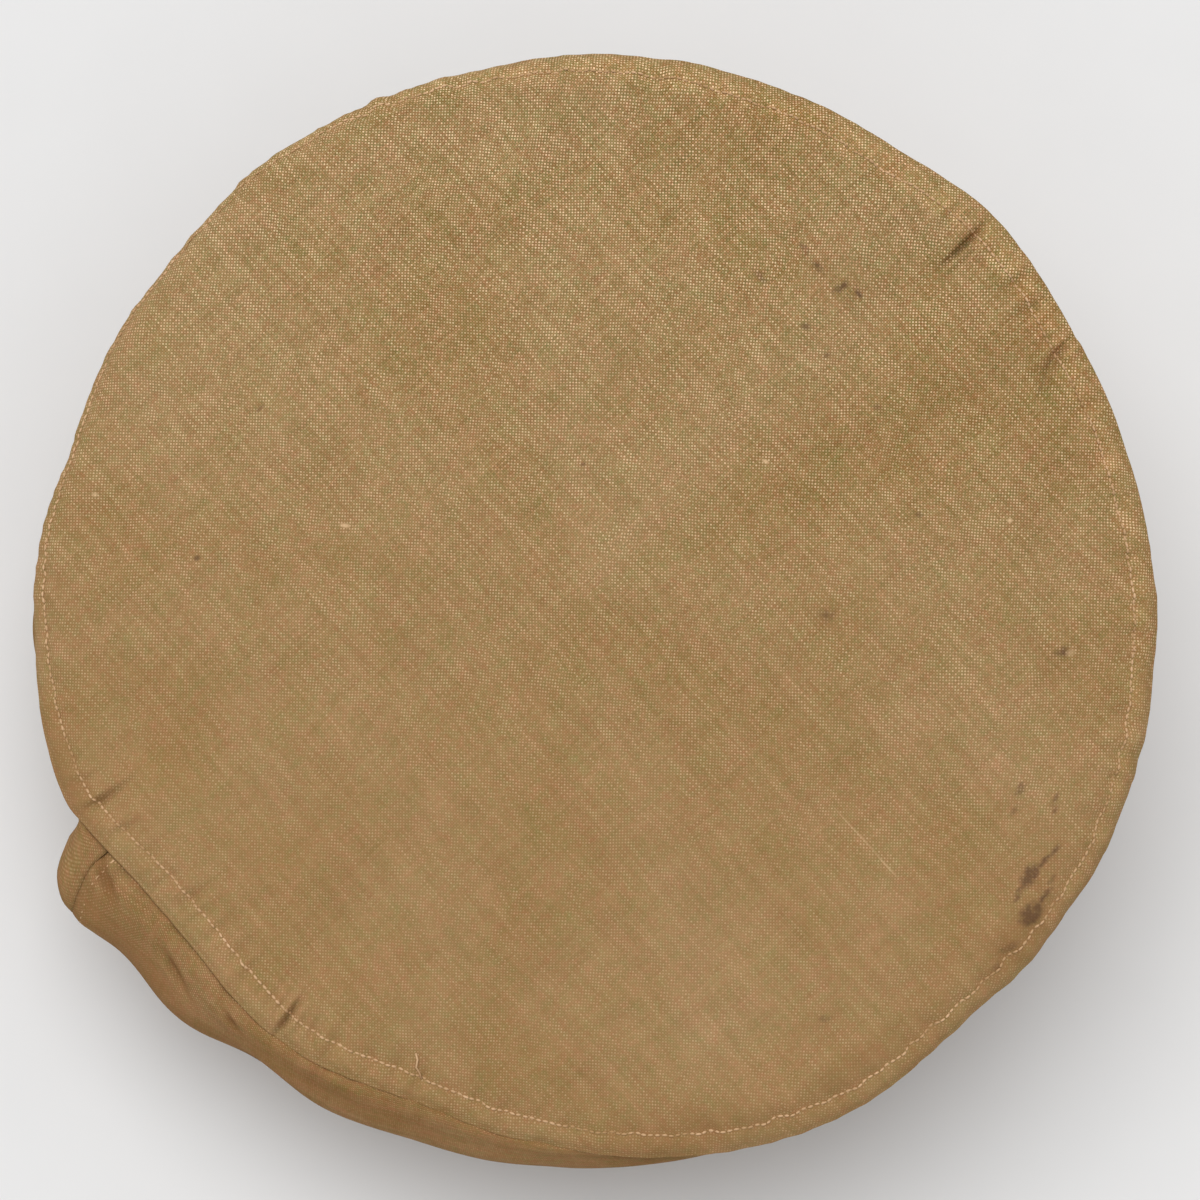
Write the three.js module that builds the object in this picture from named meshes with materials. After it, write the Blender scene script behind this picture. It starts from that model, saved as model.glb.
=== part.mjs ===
// Peaked cap of thin khaki cotton, lying on a surface as it would by itself.
//
// A flat round crown top is sewn to four side quarters, which turn in to an oval head band, and a
// cloth covered peak hangs from the front of the band. The cap rests on the back of the band's rim
// and on the peak's edge, so the band leans back. The head opening is underneath and open.
//
// The cap's own frame has +Z up along the head, -Y towards the peak and +X to the wearer's left.
// Every wall is worked out from its middle surface, which is then offset to both sides.
// Azimuths are in degrees round the head, from +X towards +Y, so the peak is at 270.

import * as THREE from 'three';

// Driving dimensions, in millimetres and degrees.
const CLOTH = 1.4;                // one crown wall, with its turned seam allowances
const BAND_WALL = 2.4;            // the band is folded double
const PEAK_WALL = 2.4;            // cloth over a thin stiffening
const GAP = 0.35;                 // clearance between neighbouring pieces
const BAND_HALF_WIDTH = 84;       // outside, ear to ear
const BAND_HALF_LENGTH = 100;     // outside, brow to nape
const BAND_HEIGHT = 40;
const BAND_FLARE = 1.5;           // how much wider the band's top is than its rim, each side
const CROWN_MIDDLE = 74;          // height of the crown top over the rim, at its middle
const ROLL_WIDTH = 15;            // strip inside the crown's seam that can roll down
const PEAK_HALF_ANGLE = 60;       // the peak's corners, each side of the front
const PEAK_REACH = 34;            // how far the peak stands out from the band, seen from above
const PEAK_CORNER = 0.08;         // the peak's reach at its corners, as a share of its reach
const PEAK_ROUNDNESS = 0.7;       // below 1, the peak is full towards its corners
const PEAK_TOUCH = 0.85;          // share of its reach from which the peak's edge is down
const PEAK_CROWN = 1.6;           // upward curve of the peak between the band and its edge
const REST_LEAN = 7.6;            // the lean at which back rim and peak edge both touch down
const SQUASH = 0.5;               // how far cloth is flattened where the cap rests on it
const SEAM_HALF_ANGLE = 0.12;     // half of the slit between neighbouring quarters
const BAND_LEAN = 40;             // how far the quarters lean out over the band's top edge
const BAND_PULL = 14;             // length over which they straighten towards the band
const ROUND_ARM = 0.55;           // arm of a curve that turns a round quarter
const WAIST_ARM = 0.3;            // arm that carries a quarter on below its widest line

// The crown top's edge: cloth from the middle to the seam, the height that the edge has over the
// band's rim before it rolls, and how far the strip inside the seam rolls down. The sides droop,
// the front stands up, and the back is drawn in to a straight chord between 88 and 118.
const CROWN_EDGE = [
  { azimuth: 0, cloth: 137.5, height: 64, roll: 60 },
  { azimuth: 30, cloth: 139, height: 62, roll: 75 },
  { azimuth: 45, cloth: 138, height: 62, roll: 70 },
  { azimuth: 58, cloth: 138.5, height: 62, roll: 55 },
  { azimuth: 72, cloth: 137.5, height: 62.5, roll: 30 },
  { azimuth: 83, cloth: 135.5, height: 63, roll: 12 },
  { azimuth: 88, cloth: 131.5, height: 64, roll: 5 },
  { azimuth: 94, cloth: 128, height: 64, roll: 5 },
  { azimuth: 103, cloth: 126, height: 64.5, roll: 3 },
  { azimuth: 118, cloth: 129, height: 65, roll: 5 },
  { azimuth: 133, cloth: 127.5, height: 65, roll: 10 },
  { azimuth: 143, cloth: 130.5, height: 64, roll: 15 },
  { azimuth: 157, cloth: 134.5, height: 64, roll: 20 },
  { azimuth: 180, cloth: 139, height: 65, roll: 30 },
  { azimuth: 195, cloth: 138, height: 65, roll: 40 },
  { azimuth: 214, cloth: 140.5, height: 66, roll: 45 },
  { azimuth: 240, cloth: 137.5, height: 69, roll: 25 },
  { azimuth: 270, cloth: 133, height: 73, roll: 5 },
  { azimuth: 286, cloth: 134, height: 73, roll: 5 },
  { azimuth: 298, cloth: 131.5, height: 73, roll: 8 },
  { azimuth: 330, cloth: 134, height: 69, roll: 35 },
];

// The quarters' widest line: how far it stands out past the seam, and how far below the seam.
// At the back the slack cloth bulges out from under the crown top.
const QUARTER_BULGE = [
  { azimuth: 0, out: 1.5, fall: 10 },
  { azimuth: 60, out: 1.5, fall: 10 },
  { azimuth: 81, out: 1, fall: 10 },
  { azimuth: 85.5, out: 3, fall: 11 },
  { azimuth: 89.5, out: 15, fall: 12 },
  { azimuth: 93, out: 18.5, fall: 12 },
  { azimuth: 99, out: 15.5, fall: 12 },
  { azimuth: 108, out: 13, fall: 11 },
  { azimuth: 120, out: 8.5, fall: 10 },
  { azimuth: 133, out: 9.5, fall: 10 },
  { azimuth: 145, out: 6, fall: 10 },
  { azimuth: 160, out: 3, fall: 9 },
  { azimuth: 180, out: 1, fall: 8 },
  { azimuth: 210, out: 1, fall: 10 },
  { azimuth: 250, out: 0, fall: 9 },
  { azimuth: 300, out: 0, fall: 9 },
  { azimuth: 330, out: 1, fall: 10 },
];

// Soft dents and swells of the crown top: place, radial and sideways size, and height.
const CROWN_DENTS = [
  { azimuth: 285, distance: 108, along: 26, across: 9, height: -2.2 },
  { azimuth: 268, distance: 102, along: 22, across: 10, height: -1.6 },
  { azimuth: 325, distance: 105, along: 16, across: 26, height: -1.8 },
  { azimuth: 80, distance: 104, along: 18, across: 14, height: -1.6 },
  { azimuth: 116, distance: 100, along: 24, across: 8, height: -2 },
  { azimuth: 200, distance: 70, along: 30, across: 30, height: -1.2 },
  { azimuth: 20, distance: 55, along: 34, across: 26, height: 1.2 },
];
const DENT_MARGIN = 16;           // dents die out over this strip inside the seam

// Where the sections of the round walls stand. They are closer together round the back bulge.
const SECTION_SPANS = [
  { from: 0, to: 80, step: 5 },
  { from: 80, to: 120, step: 2.5 },
  { from: 120, to: 360, step: 5 },
];
const CROWN_RINGS = [108, 80, 54, 34, 22, 15, 11, 7, 3.5, 0];   // distances inside the seam
const SLOPE_STEPS = 60;           // steps in which a crown section is added up
const SLOPE_SPAN = { degrees: 0.5, length: 0.3, share: 0.01 };   // spans that slopes are taken over
const UPPER_ROWS = 4;             // rows of a quarter from the seam to its widest line
const LOWER_ROWS = 6;             // rows from there to the band
const BAND_ROWS = 2;
const PEAK_SECTIONS = 24;
const PEAK_ROWS = 5;

// The quarters, named as the wearer has them, and the seams that they lie between.
const QUARTERS = [
  { name: 'quarter_back_left', from: 0, to: 90 },
  { name: 'quarter_back_right', from: 90, to: 180 },
  { name: 'quarter_front_right', from: 180, to: 270 },
  { name: 'quarter_front_left', from: 270, to: 360 },
];
const FRONT = 270;

// Cloth colours, matt and slightly uneven in tone from piece to piece.
const khaki = (color) => new THREE.MeshStandardMaterial({ color, roughness: 0.95, metalness: 0 });
const CROWN_CLOTH = khaki('#a5855b');
const QUARTER_CLOTH = khaki('#967549');
const BAND_CLOTH = khaki('#997a4f');
const PEAK_CLOTH = khaki('#9b7c52');

const radians = THREE.MathUtils.degToRad;
const blend = (x) => THREE.MathUtils.smoothstep(x, 0, 1);

// A value of a table at any azimuth, on one smooth closed curve through its rows.
function around(table, column, azimuth) {
  const turns = table.length;
  const at = ((azimuth % 360) + 360) % 360;
  const row = (k) => {
    const wrap = Math.floor(k / turns);
    const entry = table[k - wrap * turns];
    return { a: entry.azimuth + 360 * wrap, v: entry[column] };
  };
  let k = turns - 1;
  while (k >= 0 && table[k].azimuth > at) k -= 1;
  const [p, q, r, s] = [row(k - 1), row(k), row(k + 1), row(k + 2)];
  const span = r.a - q.a;
  const t = (at - q.a) / span;
  const leave = ((r.v - p.v) / (r.a - p.a)) * span;
  const arrive = ((s.v - q.v) / (s.a - q.a)) * span;
  return (1 + 2 * t) * (1 - t) ** 2 * q.v + t * (1 - t) ** 2 * leave
    + t * t * (3 - 2 * t) * r.v + t * t * (t - 1) * arrive;
}

// A point of a section: distance from the head's axis and height, at an azimuth.
const spot = (azimuth, out, up) => {
  const a = radians(azimuth);
  return new THREE.Vector3(out * Math.cos(a), out * Math.sin(a), up);
};

// How far a place on the crown top is pushed up or down by the dents.
function dentHeight(azimuth, distance, inside) {
  const here = spot(azimuth, distance, 0);
  let height = 0;
  for (const dent of CROWN_DENTS) {
    const centre = spot(dent.azimuth, dent.distance, 0);
    const away = here.clone().sub(centre).applyAxisAngle(
      new THREE.Vector3(0, 0, 1), -radians(dent.azimuth));
    height += dent.height * Math.exp(-((away.x / dent.along) ** 2) - (away.y / dent.across) ** 2);
  }
  return height * blend(inside / DENT_MARGIN);
}

// The slope of the crown top below level, at a share of its cloth from the middle to the seam.
function crownSlope(azimuth, share) {
  const cloth = around(CROWN_EDGE, 'cloth', azimuth);
  const fall = CROWN_MIDDLE - around(CROWN_EDGE, 'height', azimuth);
  const roll = radians(around(CROWN_EDGE, 'roll', azimuth));
  const inside = cloth * (1 - share);
  return (2 * fall * share) / cloth + roll * blend(1 - inside / ROLL_WIDTH);
}

// The crown top's middle surface, a given length of cloth inside the seam.
function crownPoint(azimuth, inside) {
  const cloth = around(CROWN_EDGE, 'cloth', azimuth);
  const reach = Math.max(cloth - inside, 0);
  let out = 0;
  let up = CROWN_MIDDLE;
  for (let k = 0; k < SLOPE_STEPS; k += 1) {
    const slope = crownSlope(azimuth, (((k + 0.5) / SLOPE_STEPS) * reach) / cloth);
    out += (Math.cos(slope) * reach) / SLOPE_STEPS;
    up -= (Math.sin(slope) * reach) / SLOPE_STEPS;
  }
  return spot(azimuth, out, up + dentHeight(azimuth, out, inside));
}

// The band's outside, an oval, as distance from the head's axis.
function bandReach(azimuth, height) {
  const a = radians(azimuth);
  const flare = (BAND_FLARE * height) / BAND_HEIGHT;
  const width = BAND_HALF_WIDTH + flare;
  const length = BAND_HALF_LENGTH + flare;
  return (width * length) / Math.hypot(length * Math.cos(a), width * Math.sin(a));
}

const flat = (out, up) => new THREE.Vector2(out, up);

// A quarter's section: two curves, from under the crown's seam to the widest line and on to the
// band's top edge.
function quarterPoint(azimuth, share) {
  const slope = crownSlope(azimuth, 1);
  const seam = crownPoint(azimuth, 0);
  const edge = flat(Math.hypot(seam.x, seam.y), seam.z);
  const along = flat(Math.cos(slope), -Math.sin(slope));
  const above = flat(Math.sin(slope), Math.cos(slope));
  const out = around(QUARTER_BULGE, 'out', azimuth);
  const fall = around(QUARTER_BULGE, 'fall', azimuth);
  const start = edge.clone().addScaledVector(above, -CLOTH - GAP).addScaledVector(along, -GAP);
  const widest = flat(edge.x + out, edge.y - fall);
  const end = flat(bandReach(azimuth, BAND_HEIGHT) - BAND_WALL / 2, BAND_HEIGHT + GAP);
  const lean = radians(BAND_LEAN);
  const upper = new THREE.CubicBezierCurve(
    start,
    flat(start.x + ROUND_ARM * out * along.x, start.y + ROUND_ARM * fall * along.y),
    flat(widest.x, widest.y + ROUND_ARM * fall),
    widest);
  const lower = new THREE.CubicBezierCurve(
    widest,
    flat(widest.x, widest.y - WAIST_ARM * (widest.y - end.y)),
    flat(end.x + BAND_PULL * Math.sin(lean), end.y + BAND_PULL * Math.cos(lean)),
    end);
  const half = share < 0.5 ? upper.getPoint(share * 2) : lower.getPoint(share * 2 - 1);
  return spot(azimuth, half.x, half.y);
}

// Height of the surface that the cap rests on, in the cap's own frame.
const restHeight = (y) => -(BAND_HALF_LENGTH - y) * Math.tan(radians(REST_LEAN));

// The peak's middle surface, between the band's rim and the peak's free edge.
function peakPoint(turn, share) {
  const azimuth = FRONT + turn;
  const round = (1 - (turn / PEAK_HALF_ANGLE) ** 2) ** PEAK_ROUNDNESS;
  const reachShare = PEAK_CORNER + (1 - PEAK_CORNER) * round;
  const inner = spot(azimuth, bandReach(azimuth, 0) - BAND_WALL / 2, -GAP - PEAK_WALL / 2);
  const outward = new THREE.Vector3(
    inner.x / BAND_HALF_WIDTH ** 2, inner.y / BAND_HALF_LENGTH ** 2, 0).normalize();
  const outer = inner.clone().addScaledVector(outward, PEAK_REACH * reachShare);
  const touch = restHeight(outer.y) + PEAK_WALL / 3;
  outer.z += (touch - inner.z) * blend(reachShare / PEAK_TOUCH);
  const point = inner.lerp(outer, share);
  point.z += PEAK_CROWN * 4 * share * (1 - share) * reachShare;
  return point;
}

// Sets a point of the cap's own frame down on the surface. Cloth that would sink in is flattened.
function atRest(point) {
  const lean = radians(REST_LEAN);
  const set = point.clone().applyAxisAngle(new THREE.Vector3(1, 0, 0), -lean);
  set.z += BAND_HALF_LENGTH * Math.sin(lean) - SQUASH;
  set.z = Math.max(set.z, 0);
  return set;
}

// The direction square to a surface, from its slopes over a small step each way.
function squareTo(surface, u, v, du, dv) {
  const alongU = surface(u + du, v).sub(surface(u - du, v));
  const alongV = surface(u, v + dv).sub(surface(u, v - dv));
  return alongU.cross(alongV).normalize();
}

// Gathers the points and triangles of one closed solid.
class Solid {
  constructor() {
    this.places = [];
    this.faces = [];
  }

  point(position) {
    this.places.push(...position.toArray());
    return this.places.length / 3 - 1;
  }

  // A four sided face, split across its shorter diagonal.
  quad(a, b, c, d) {
    const at = (k) => new THREE.Vector3().fromArray(this.places, 3 * k);
    if (at(a).distanceTo(at(c)) <= at(b).distanceTo(at(d))) this.faces.push(a, b, c, a, c, d);
    else this.faces.push(a, b, d, b, c, d);
  }

  mesh(name, material) {
    const geometry = new THREE.BufferGeometry();
    geometry.setAttribute('position', new THREE.Float32BufferAttribute(this.places, 3));
    geometry.setIndex(this.faces);
    geometry.computeVertexNormals();
    const mesh = new THREE.Mesh(geometry, material);
    mesh.name = name;
    return mesh;
  }
}

// Joins a front and a back sheet of points, rows by columns, into one wall with closed edges.
// The front faces the way of the cross product of the rows' and the columns' directions.
function wall(solid, front, back) {
  const rows = front.length - 1;
  const columns = front[0].length - 1;
  for (let i = 0; i < rows; i += 1) {
    for (let j = 0; j < columns; j += 1) {
      solid.quad(front[i][j], front[i + 1][j], front[i + 1][j + 1], front[i][j + 1]);
      solid.quad(back[i][j], back[i][j + 1], back[i + 1][j + 1], back[i + 1][j]);
    }
  }
  for (let i = 0; i < rows; i += 1) {
    solid.quad(front[i][0], back[i][0], back[i + 1][0], front[i + 1][0]);
    solid.quad(front[i + 1][columns], back[i + 1][columns], back[i][columns], front[i][columns]);
  }
  if (front[0][0] === front[rows][0]) return;
  for (let j = 0; j < columns; j += 1) {
    solid.quad(front[0][j + 1], back[0][j + 1], back[0][j], front[0][j]);
    solid.quad(front[rows][j], back[rows][j], back[rows][j + 1], front[rows][j + 1]);
  }
}

// The azimuths of the sections between two azimuths, both ends included.
function sections(from, to) {
  const stops = [];
  for (const span of SECTION_SPANS) {
    for (let a = span.from; a < span.to; a += span.step) if (a > from && a < to) stops.push(a);
  }
  return [from, ...stops, to];
}

function buildCrownTop() {
  const solid = new Solid();
  const stops = sections(0, 360).slice(0, -1);
  const up = new THREE.Vector3(0, 0, 1);
  const { degrees, length } = SLOPE_SPAN;
  const sheet = (side) => stops.map((azimuth) => CROWN_RINGS.map((inside) => {
    const square = squareTo(crownPoint, azimuth, inside + length, degrees, length);
    const offset = crownPoint(azimuth, inside).addScaledVector(square, side * CLOTH / 2);
    return solid.point(atRest(offset));
  }));
  const top = sheet(1);
  const under = sheet(-1);
  const middle = crownPoint(0, around(CROWN_EDGE, 'cloth', 0));
  const topMiddle = solid.point(atRest(middle.clone().addScaledVector(up, CLOTH / 2)));
  const underMiddle = solid.point(atRest(middle.clone().addScaledVector(up, -CLOTH / 2)));
  const last = CROWN_RINGS.length - 1;
  stops.forEach((_, i) => {
    const next = (i + 1) % stops.length;
    solid.faces.push(topMiddle, top[i][0], top[next][0]);
    solid.faces.push(underMiddle, under[next][0], under[i][0]);
    for (let j = 0; j < last; j += 1) {
      solid.quad(top[i][j], top[i][j + 1], top[next][j + 1], top[next][j]);
      solid.quad(under[i][j], under[next][j], under[next][j + 1], under[i][j + 1]);
    }
    solid.quad(top[i][last], under[i][last], under[next][last], top[next][last]);
  });
  return solid.mesh('crown_top', CROWN_CLOTH);
}

function buildQuarter({ name, from, to }) {
  const solid = new Solid();
  const stops = sections(from + SEAM_HALF_ANGLE, to - SEAM_HALF_ANGLE);
  const rows = UPPER_ROWS + LOWER_ROWS;
  const shareAt = (j) => (j <= UPPER_ROWS
    ? (0.5 * j) / UPPER_ROWS
    : 0.5 + (0.5 * (j - UPPER_ROWS)) / LOWER_ROWS);
  const sheet = (side) => stops.map((azimuth) => Array.from({ length: rows + 1 }, (_, j) => {
    const share = THREE.MathUtils.clamp(shareAt(j), SLOPE_SPAN.share, 1 - SLOPE_SPAN.share);
    const square = squareTo(quarterPoint, azimuth, share, SLOPE_SPAN.degrees, SLOPE_SPAN.share);
    square.negate();
    if (j === rows) square.copy(spot(azimuth, 1, 0));
    const offset = quarterPoint(azimuth, shareAt(j)).addScaledVector(square, side * CLOTH / 2);
    return solid.point(atRest(offset));
  }));
  const outside = sheet(1);
  const inside = sheet(-1);
  wall(solid, inside, outside);
  return solid.mesh(name, QUARTER_CLOTH);
}

function buildBand() {
  const solid = new Solid();
  const stops = sections(0, 360).slice(0, -1);
  const sheet = (inward) => {
    const columns = stops.map((azimuth) => Array.from({ length: BAND_ROWS + 1 }, (_, j) => {
      const height = (BAND_HEIGHT * j) / BAND_ROWS;
      return solid.point(atRest(spot(azimuth, bandReach(azimuth, height) - inward, height)));
    }));
    return [...columns, columns[0]];
  };
  wall(solid, sheet(0), sheet(BAND_WALL));
  return solid.mesh('band', BAND_CLOTH);
}

function buildPeak() {
  const solid = new Solid();
  const { degrees, share: span } = SLOPE_SPAN;
  const corner = PEAK_HALF_ANGLE - 2 * degrees;
  const sheet = (side) => Array.from({ length: PEAK_SECTIONS + 1 }, (_, i) => {
    const turn = -PEAK_HALF_ANGLE * Math.cos((Math.PI * i) / PEAK_SECTIONS);
    const bend = THREE.MathUtils.clamp(turn, -corner, corner);
    return Array.from({ length: PEAK_ROWS + 1 }, (__, j) => {
      const square = squareTo(peakPoint, bend, 0.5, degrees, span).negate();
      if (j === 0) square.set(0, 0, 1);
      const offset = peakPoint(turn, j / PEAK_ROWS).addScaledVector(square, side * PEAK_WALL / 2);
      return solid.point(atRest(offset));
    });
  });
  const top = sheet(1);
  const under = sheet(-1);
  wall(solid, under, top);
  return solid.mesh('peak', PEAK_CLOTH);
}

const cap = new THREE.Group();
cap.add(buildCrownTop(), ...QUARTERS.map(buildQuarter), buildBand(), buildPeak());

// The origin is under the middle of the cap, on the surface.
const box = new THREE.Box3().setFromObject(cap, true);
const middle = box.getCenter(new THREE.Vector3());
cap.position.set(-middle.x, -middle.y, -box.min.z);

const part = new THREE.Group();
part.add(cap);
part.updateMatrixWorld(true);

export default part;
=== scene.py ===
"""Peaked cap of thin khaki cotton, lying on a pale floor and seen from above its back.

A flat round crown top is sewn to four quarters, which turn in to an oval head band, and a cloth
covered peak hangs from the band's front. The cap's own frame has +Z up along the head, -Y towards
the peak and +X to the wearer's left, and azimuths are in degrees from +X towards +Y. Lengths are
in millimetres until a mesh, a light or the camera is made.
"""

import logging
import math
from dataclasses import dataclass, field
from enum import Enum
from typing import Any, Callable, Sequence

import bpy
import numpy as np
from mathutils import Matrix, Vector


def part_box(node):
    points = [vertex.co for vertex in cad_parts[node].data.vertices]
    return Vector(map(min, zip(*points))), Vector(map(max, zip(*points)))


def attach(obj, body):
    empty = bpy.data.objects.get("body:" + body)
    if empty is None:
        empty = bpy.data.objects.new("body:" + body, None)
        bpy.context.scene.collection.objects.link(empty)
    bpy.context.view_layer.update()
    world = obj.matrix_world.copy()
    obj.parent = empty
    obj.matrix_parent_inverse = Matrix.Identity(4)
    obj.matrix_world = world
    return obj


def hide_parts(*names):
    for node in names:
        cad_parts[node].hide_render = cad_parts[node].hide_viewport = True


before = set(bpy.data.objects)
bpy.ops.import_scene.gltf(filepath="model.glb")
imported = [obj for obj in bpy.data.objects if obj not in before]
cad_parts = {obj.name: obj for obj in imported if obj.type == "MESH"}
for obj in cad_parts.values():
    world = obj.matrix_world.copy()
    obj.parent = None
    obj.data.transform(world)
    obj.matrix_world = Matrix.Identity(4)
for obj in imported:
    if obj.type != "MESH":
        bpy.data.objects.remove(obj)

Array = np.ndarray
Surface = Callable[[Array, Array], Array]
Faces = list[tuple[int, ...]]
Material = bpy.types.Material
Mesh = bpy.types.Mesh
Piece = bpy.types.Object
Socket = bpy.types.NodeSocket
Tree = bpy.types.NodeTree

MM = 0.001
ROOT = "root"
log = logging.getLogger("peaked_cap")


def blend(x: Array) -> Array:
    """Smooth step from 0 at x = 0 to 1 at x = 1."""
    x = np.clip(x, 0.0, 1.0)
    return x * x * (3 - 2 * x)


def polar(azimuth: Array, out: Array, up: Array) -> Array:
    """Points of the cap's frame from azimuths, distances from the head's axis and heights."""
    a = np.radians(azimuth)
    return np.stack(np.broadcast_arrays(out * np.cos(a), out * np.sin(a), up), -1)


def length_of(v: Array) -> Array:
    """Lengths of the vectors along the last axis."""
    return np.linalg.norm(v, axis=-1, keepdims=True)


@dataclass(frozen=True)
class Turning:
    """Values that change smoothly round the head.

    Args:
        columns: names of the values, of which the first is the azimuth.
        rows: one row for each azimuth, in order.
    """

    columns: tuple[str, ...]
    rows: tuple[tuple[float, ...], ...]

    def at(self, column: str, azimuth: Array) -> Array:
        """A column's value on one smooth closed curve through its rows.

        Args:
            column: name of the value.
            azimuth: where it is wanted, in degrees.

        Returns:
            The values, in the shape of azimuth.
        """
        turns = np.array([row[0] for row in self.rows])
        values = np.array([row[self.columns.index(column)] for row in self.rows])
        a = np.concatenate([turns - 360, turns, turns + 360])
        v = np.tile(values, 3)
        slope = np.zeros_like(v)
        slope[1:-1] = (v[2:] - v[:-2]) / (a[2:] - a[:-2])
        at = np.asarray(azimuth, float) % 360
        k = np.searchsorted(a, at, side="right") - 1
        span = a[k + 1] - a[k]
        t = (at - a[k]) / span
        return (
            (1 + 2 * t) * (1 - t) ** 2 * v[k]
            + t * (1 - t) ** 2 * span * slope[k]
            + t * t * (3 - 2 * t) * v[k + 1]
            + t * t * (t - 1) * span * slope[k + 1]
        )


CROWN_EDGE = Turning(
    ("azimuth", "cloth", "height", "roll"),
    (
        (0, 137.5, 64, 60), (30, 139, 62, 75), (45, 138, 62, 70), (58, 138.5, 62, 55),
        (72, 137.5, 62.5, 30), (83, 135.5, 63, 12), (88, 131.5, 64, 5), (94, 128, 64, 5),
        (103, 126, 64.5, 3), (118, 129, 65, 5), (133, 127.5, 65, 10), (143, 130.5, 64, 15),
        (157, 134.5, 64, 20), (180, 139, 65, 30), (195, 138, 65, 40), (214, 140.5, 66, 45),
        (240, 137.5, 69, 25), (270, 133, 73, 5), (286, 134, 73, 5), (298, 131.5, 73, 8),
        (330, 134, 69, 35),
    ),
)

QUARTER_BULGE = Turning(
    ("azimuth", "out", "fall"),
    (
        (0, 1.5, 10), (60, 1.5, 10), (81, 1, 10), (85.5, 3, 11), (89.5, 15, 12), (93, 18.5, 12),
        (99, 15.5, 12), (108, 13, 11), (120, 8.5, 10), (133, 9.5, 10), (145, 6, 10), (160, 3, 9),
        (180, 1, 8), (210, 1, 10), (250, 0, 9), (300, 0, 9), (330, 1, 10),
    ),
)

# How far inside the crown's seam its row of topstitching runs.
TOPSTITCH_LINE = Turning(
    ("azimuth", "inside"),
    (
        (0, 5.6), (60, 5.6), (84, 6.2), (94, 6.9), (110, 7.0), (126, 6.2), (180, 5.6), (240, 5.8),
        (300, 5.6),
    ),
)


@dataclass(frozen=True)
class Dent:
    """A soft dent or swell of the crown top, with its radial and sideways size and height."""

    azimuth: float
    distance: float
    along: float
    across: float
    height: float


CROWN_DENTS = (
    Dent(285, 108, 26, 9, -2.2),
    Dent(268, 102, 22, 10, -1.6),
    Dent(325, 105, 16, 26, -1.8),
    Dent(80, 104, 18, 14, -1.6),
    Dent(116, 100, 24, 8, -2.0),
    Dent(200, 70, 30, 30, -1.2),
    Dent(20, 55, 34, 26, 1.2),
)


@dataclass(frozen=True)
class Crease:
    """A pinched fold of cloth along a path of flat points, deepest a third along it.

    Args:
        path: points of the flat cloth, from the seam to where the fold dies out.
        width: half width of the fold.
        depth: how deep it is where it is deepest.
        lip: height of the cloth pushed up beside it.
    """

    path: tuple[tuple[float, float], ...]
    width: float
    depth: float
    lip: float = 0.0

    def relief(self, u: Array, v: Array) -> Array:
        """Height that the fold adds at flat places.

        Args:
            u: places on the flat cloth, to the right.
            v: places on the flat cloth, upwards.

        Returns:
            Heights along the cloth's normal.
        """
        nearest = np.full(np.shape(u), 1e9)
        side = np.zeros_like(nearest)
        share = np.zeros_like(nearest)
        last = len(self.path) - 1
        for k in range(last):
            (x0, y0), (x1, y1) = self.path[k], self.path[k + 1]
            dx, dy = x1 - x0, y1 - y0
            t = np.clip(((u - x0) * dx + (v - y0) * dy) / (dx * dx + dy * dy), 0, 1)
            away = np.hypot(u - x0 - t * dx, v - y0 - t * dy)
            closer = away < nearest
            nearest = np.where(closer, away, nearest)
            side = np.where(closer, np.sign((v - y0) * dx - (u - x0) * dy), side)
            share = np.where(closer, (k + t) / last, share)
        fade = (0.3 + 0.7 * blend(share / 0.35)) * (1 - blend((share - 0.3) / 0.7))
        valley = self.depth * np.exp(-((nearest / self.width) ** 2))
        beside = (side * nearest - 2.2 * self.width) / (1.6 * self.width)
        return fade * (self.lip * np.exp(-(beside**2)) - valley)


# Folds pinched in by the seam, on the crown's flat cloth as it is seen from above the back.
CROWN_CREASES = (
    Crease(((97.0, 88.2), (90.4, 82.2), (83.0, 75.6)), 0.65, 2.4, 1.2),
    Crease(((118.0, 61.0), (113.9, 57.2), (111.6, 52.6), (107.0, 37.0)), 1.2, 3.0, 1.3),
    Crease(((-121.0, -49.0), (-116.0, -46.0), (-106.0, -40.0)), 1.0, 1.8, 0.7),
    Crease(((-75.6, -103.8), (-72.4, -99.4), (-66.0, -91.2)), 0.7, 2.0, 0.9),
    Crease(((-106.0, -70.0), (-103.0, -67.2), (-100.0, -65.0)), 1.2, 0.5),
    Crease(((16.0, 121.0), (28.0, 118.5), (38.0, 112.0)), 3.2, 0.7, 0.3),
    Crease(((104.0, 84.0), (106.5, 80.0)), 1.6, 0.6),
    Crease(((-86.0, -79.5), (-82.0, -83.0), (-78.0, -86.5)), 2.2, 0.6, 0.2),
)


# Folds in the slack cloth beside the back seam, on the flat cloth of its quarter.
BACK_CREASES = (
    Crease(((213.8, 3.3), (218.9, 7.3), (224.5, 9.9), (231.0, 13.0)), 1.2, 2.4, 0.7),
    Crease(((242.1, 11.2), (247.1, 13.2), (251.4, 14.5), (258.4, 20.1)), 1.3, 2.1, 0.7),
    Crease(((264.1, 7.9), (267.6, 10.8), (271.4, 13.5)), 1.2, 1.9, 0.6),
    Crease(((228.0, 3.0), (234.0, 6.0), (239.0, 9.5)), 1.2, 1.3, 0.4),
)


# Brings a sum of waves, each of even weight, to about -1 to 1.
FULL_WAVES = 1.4


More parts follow.
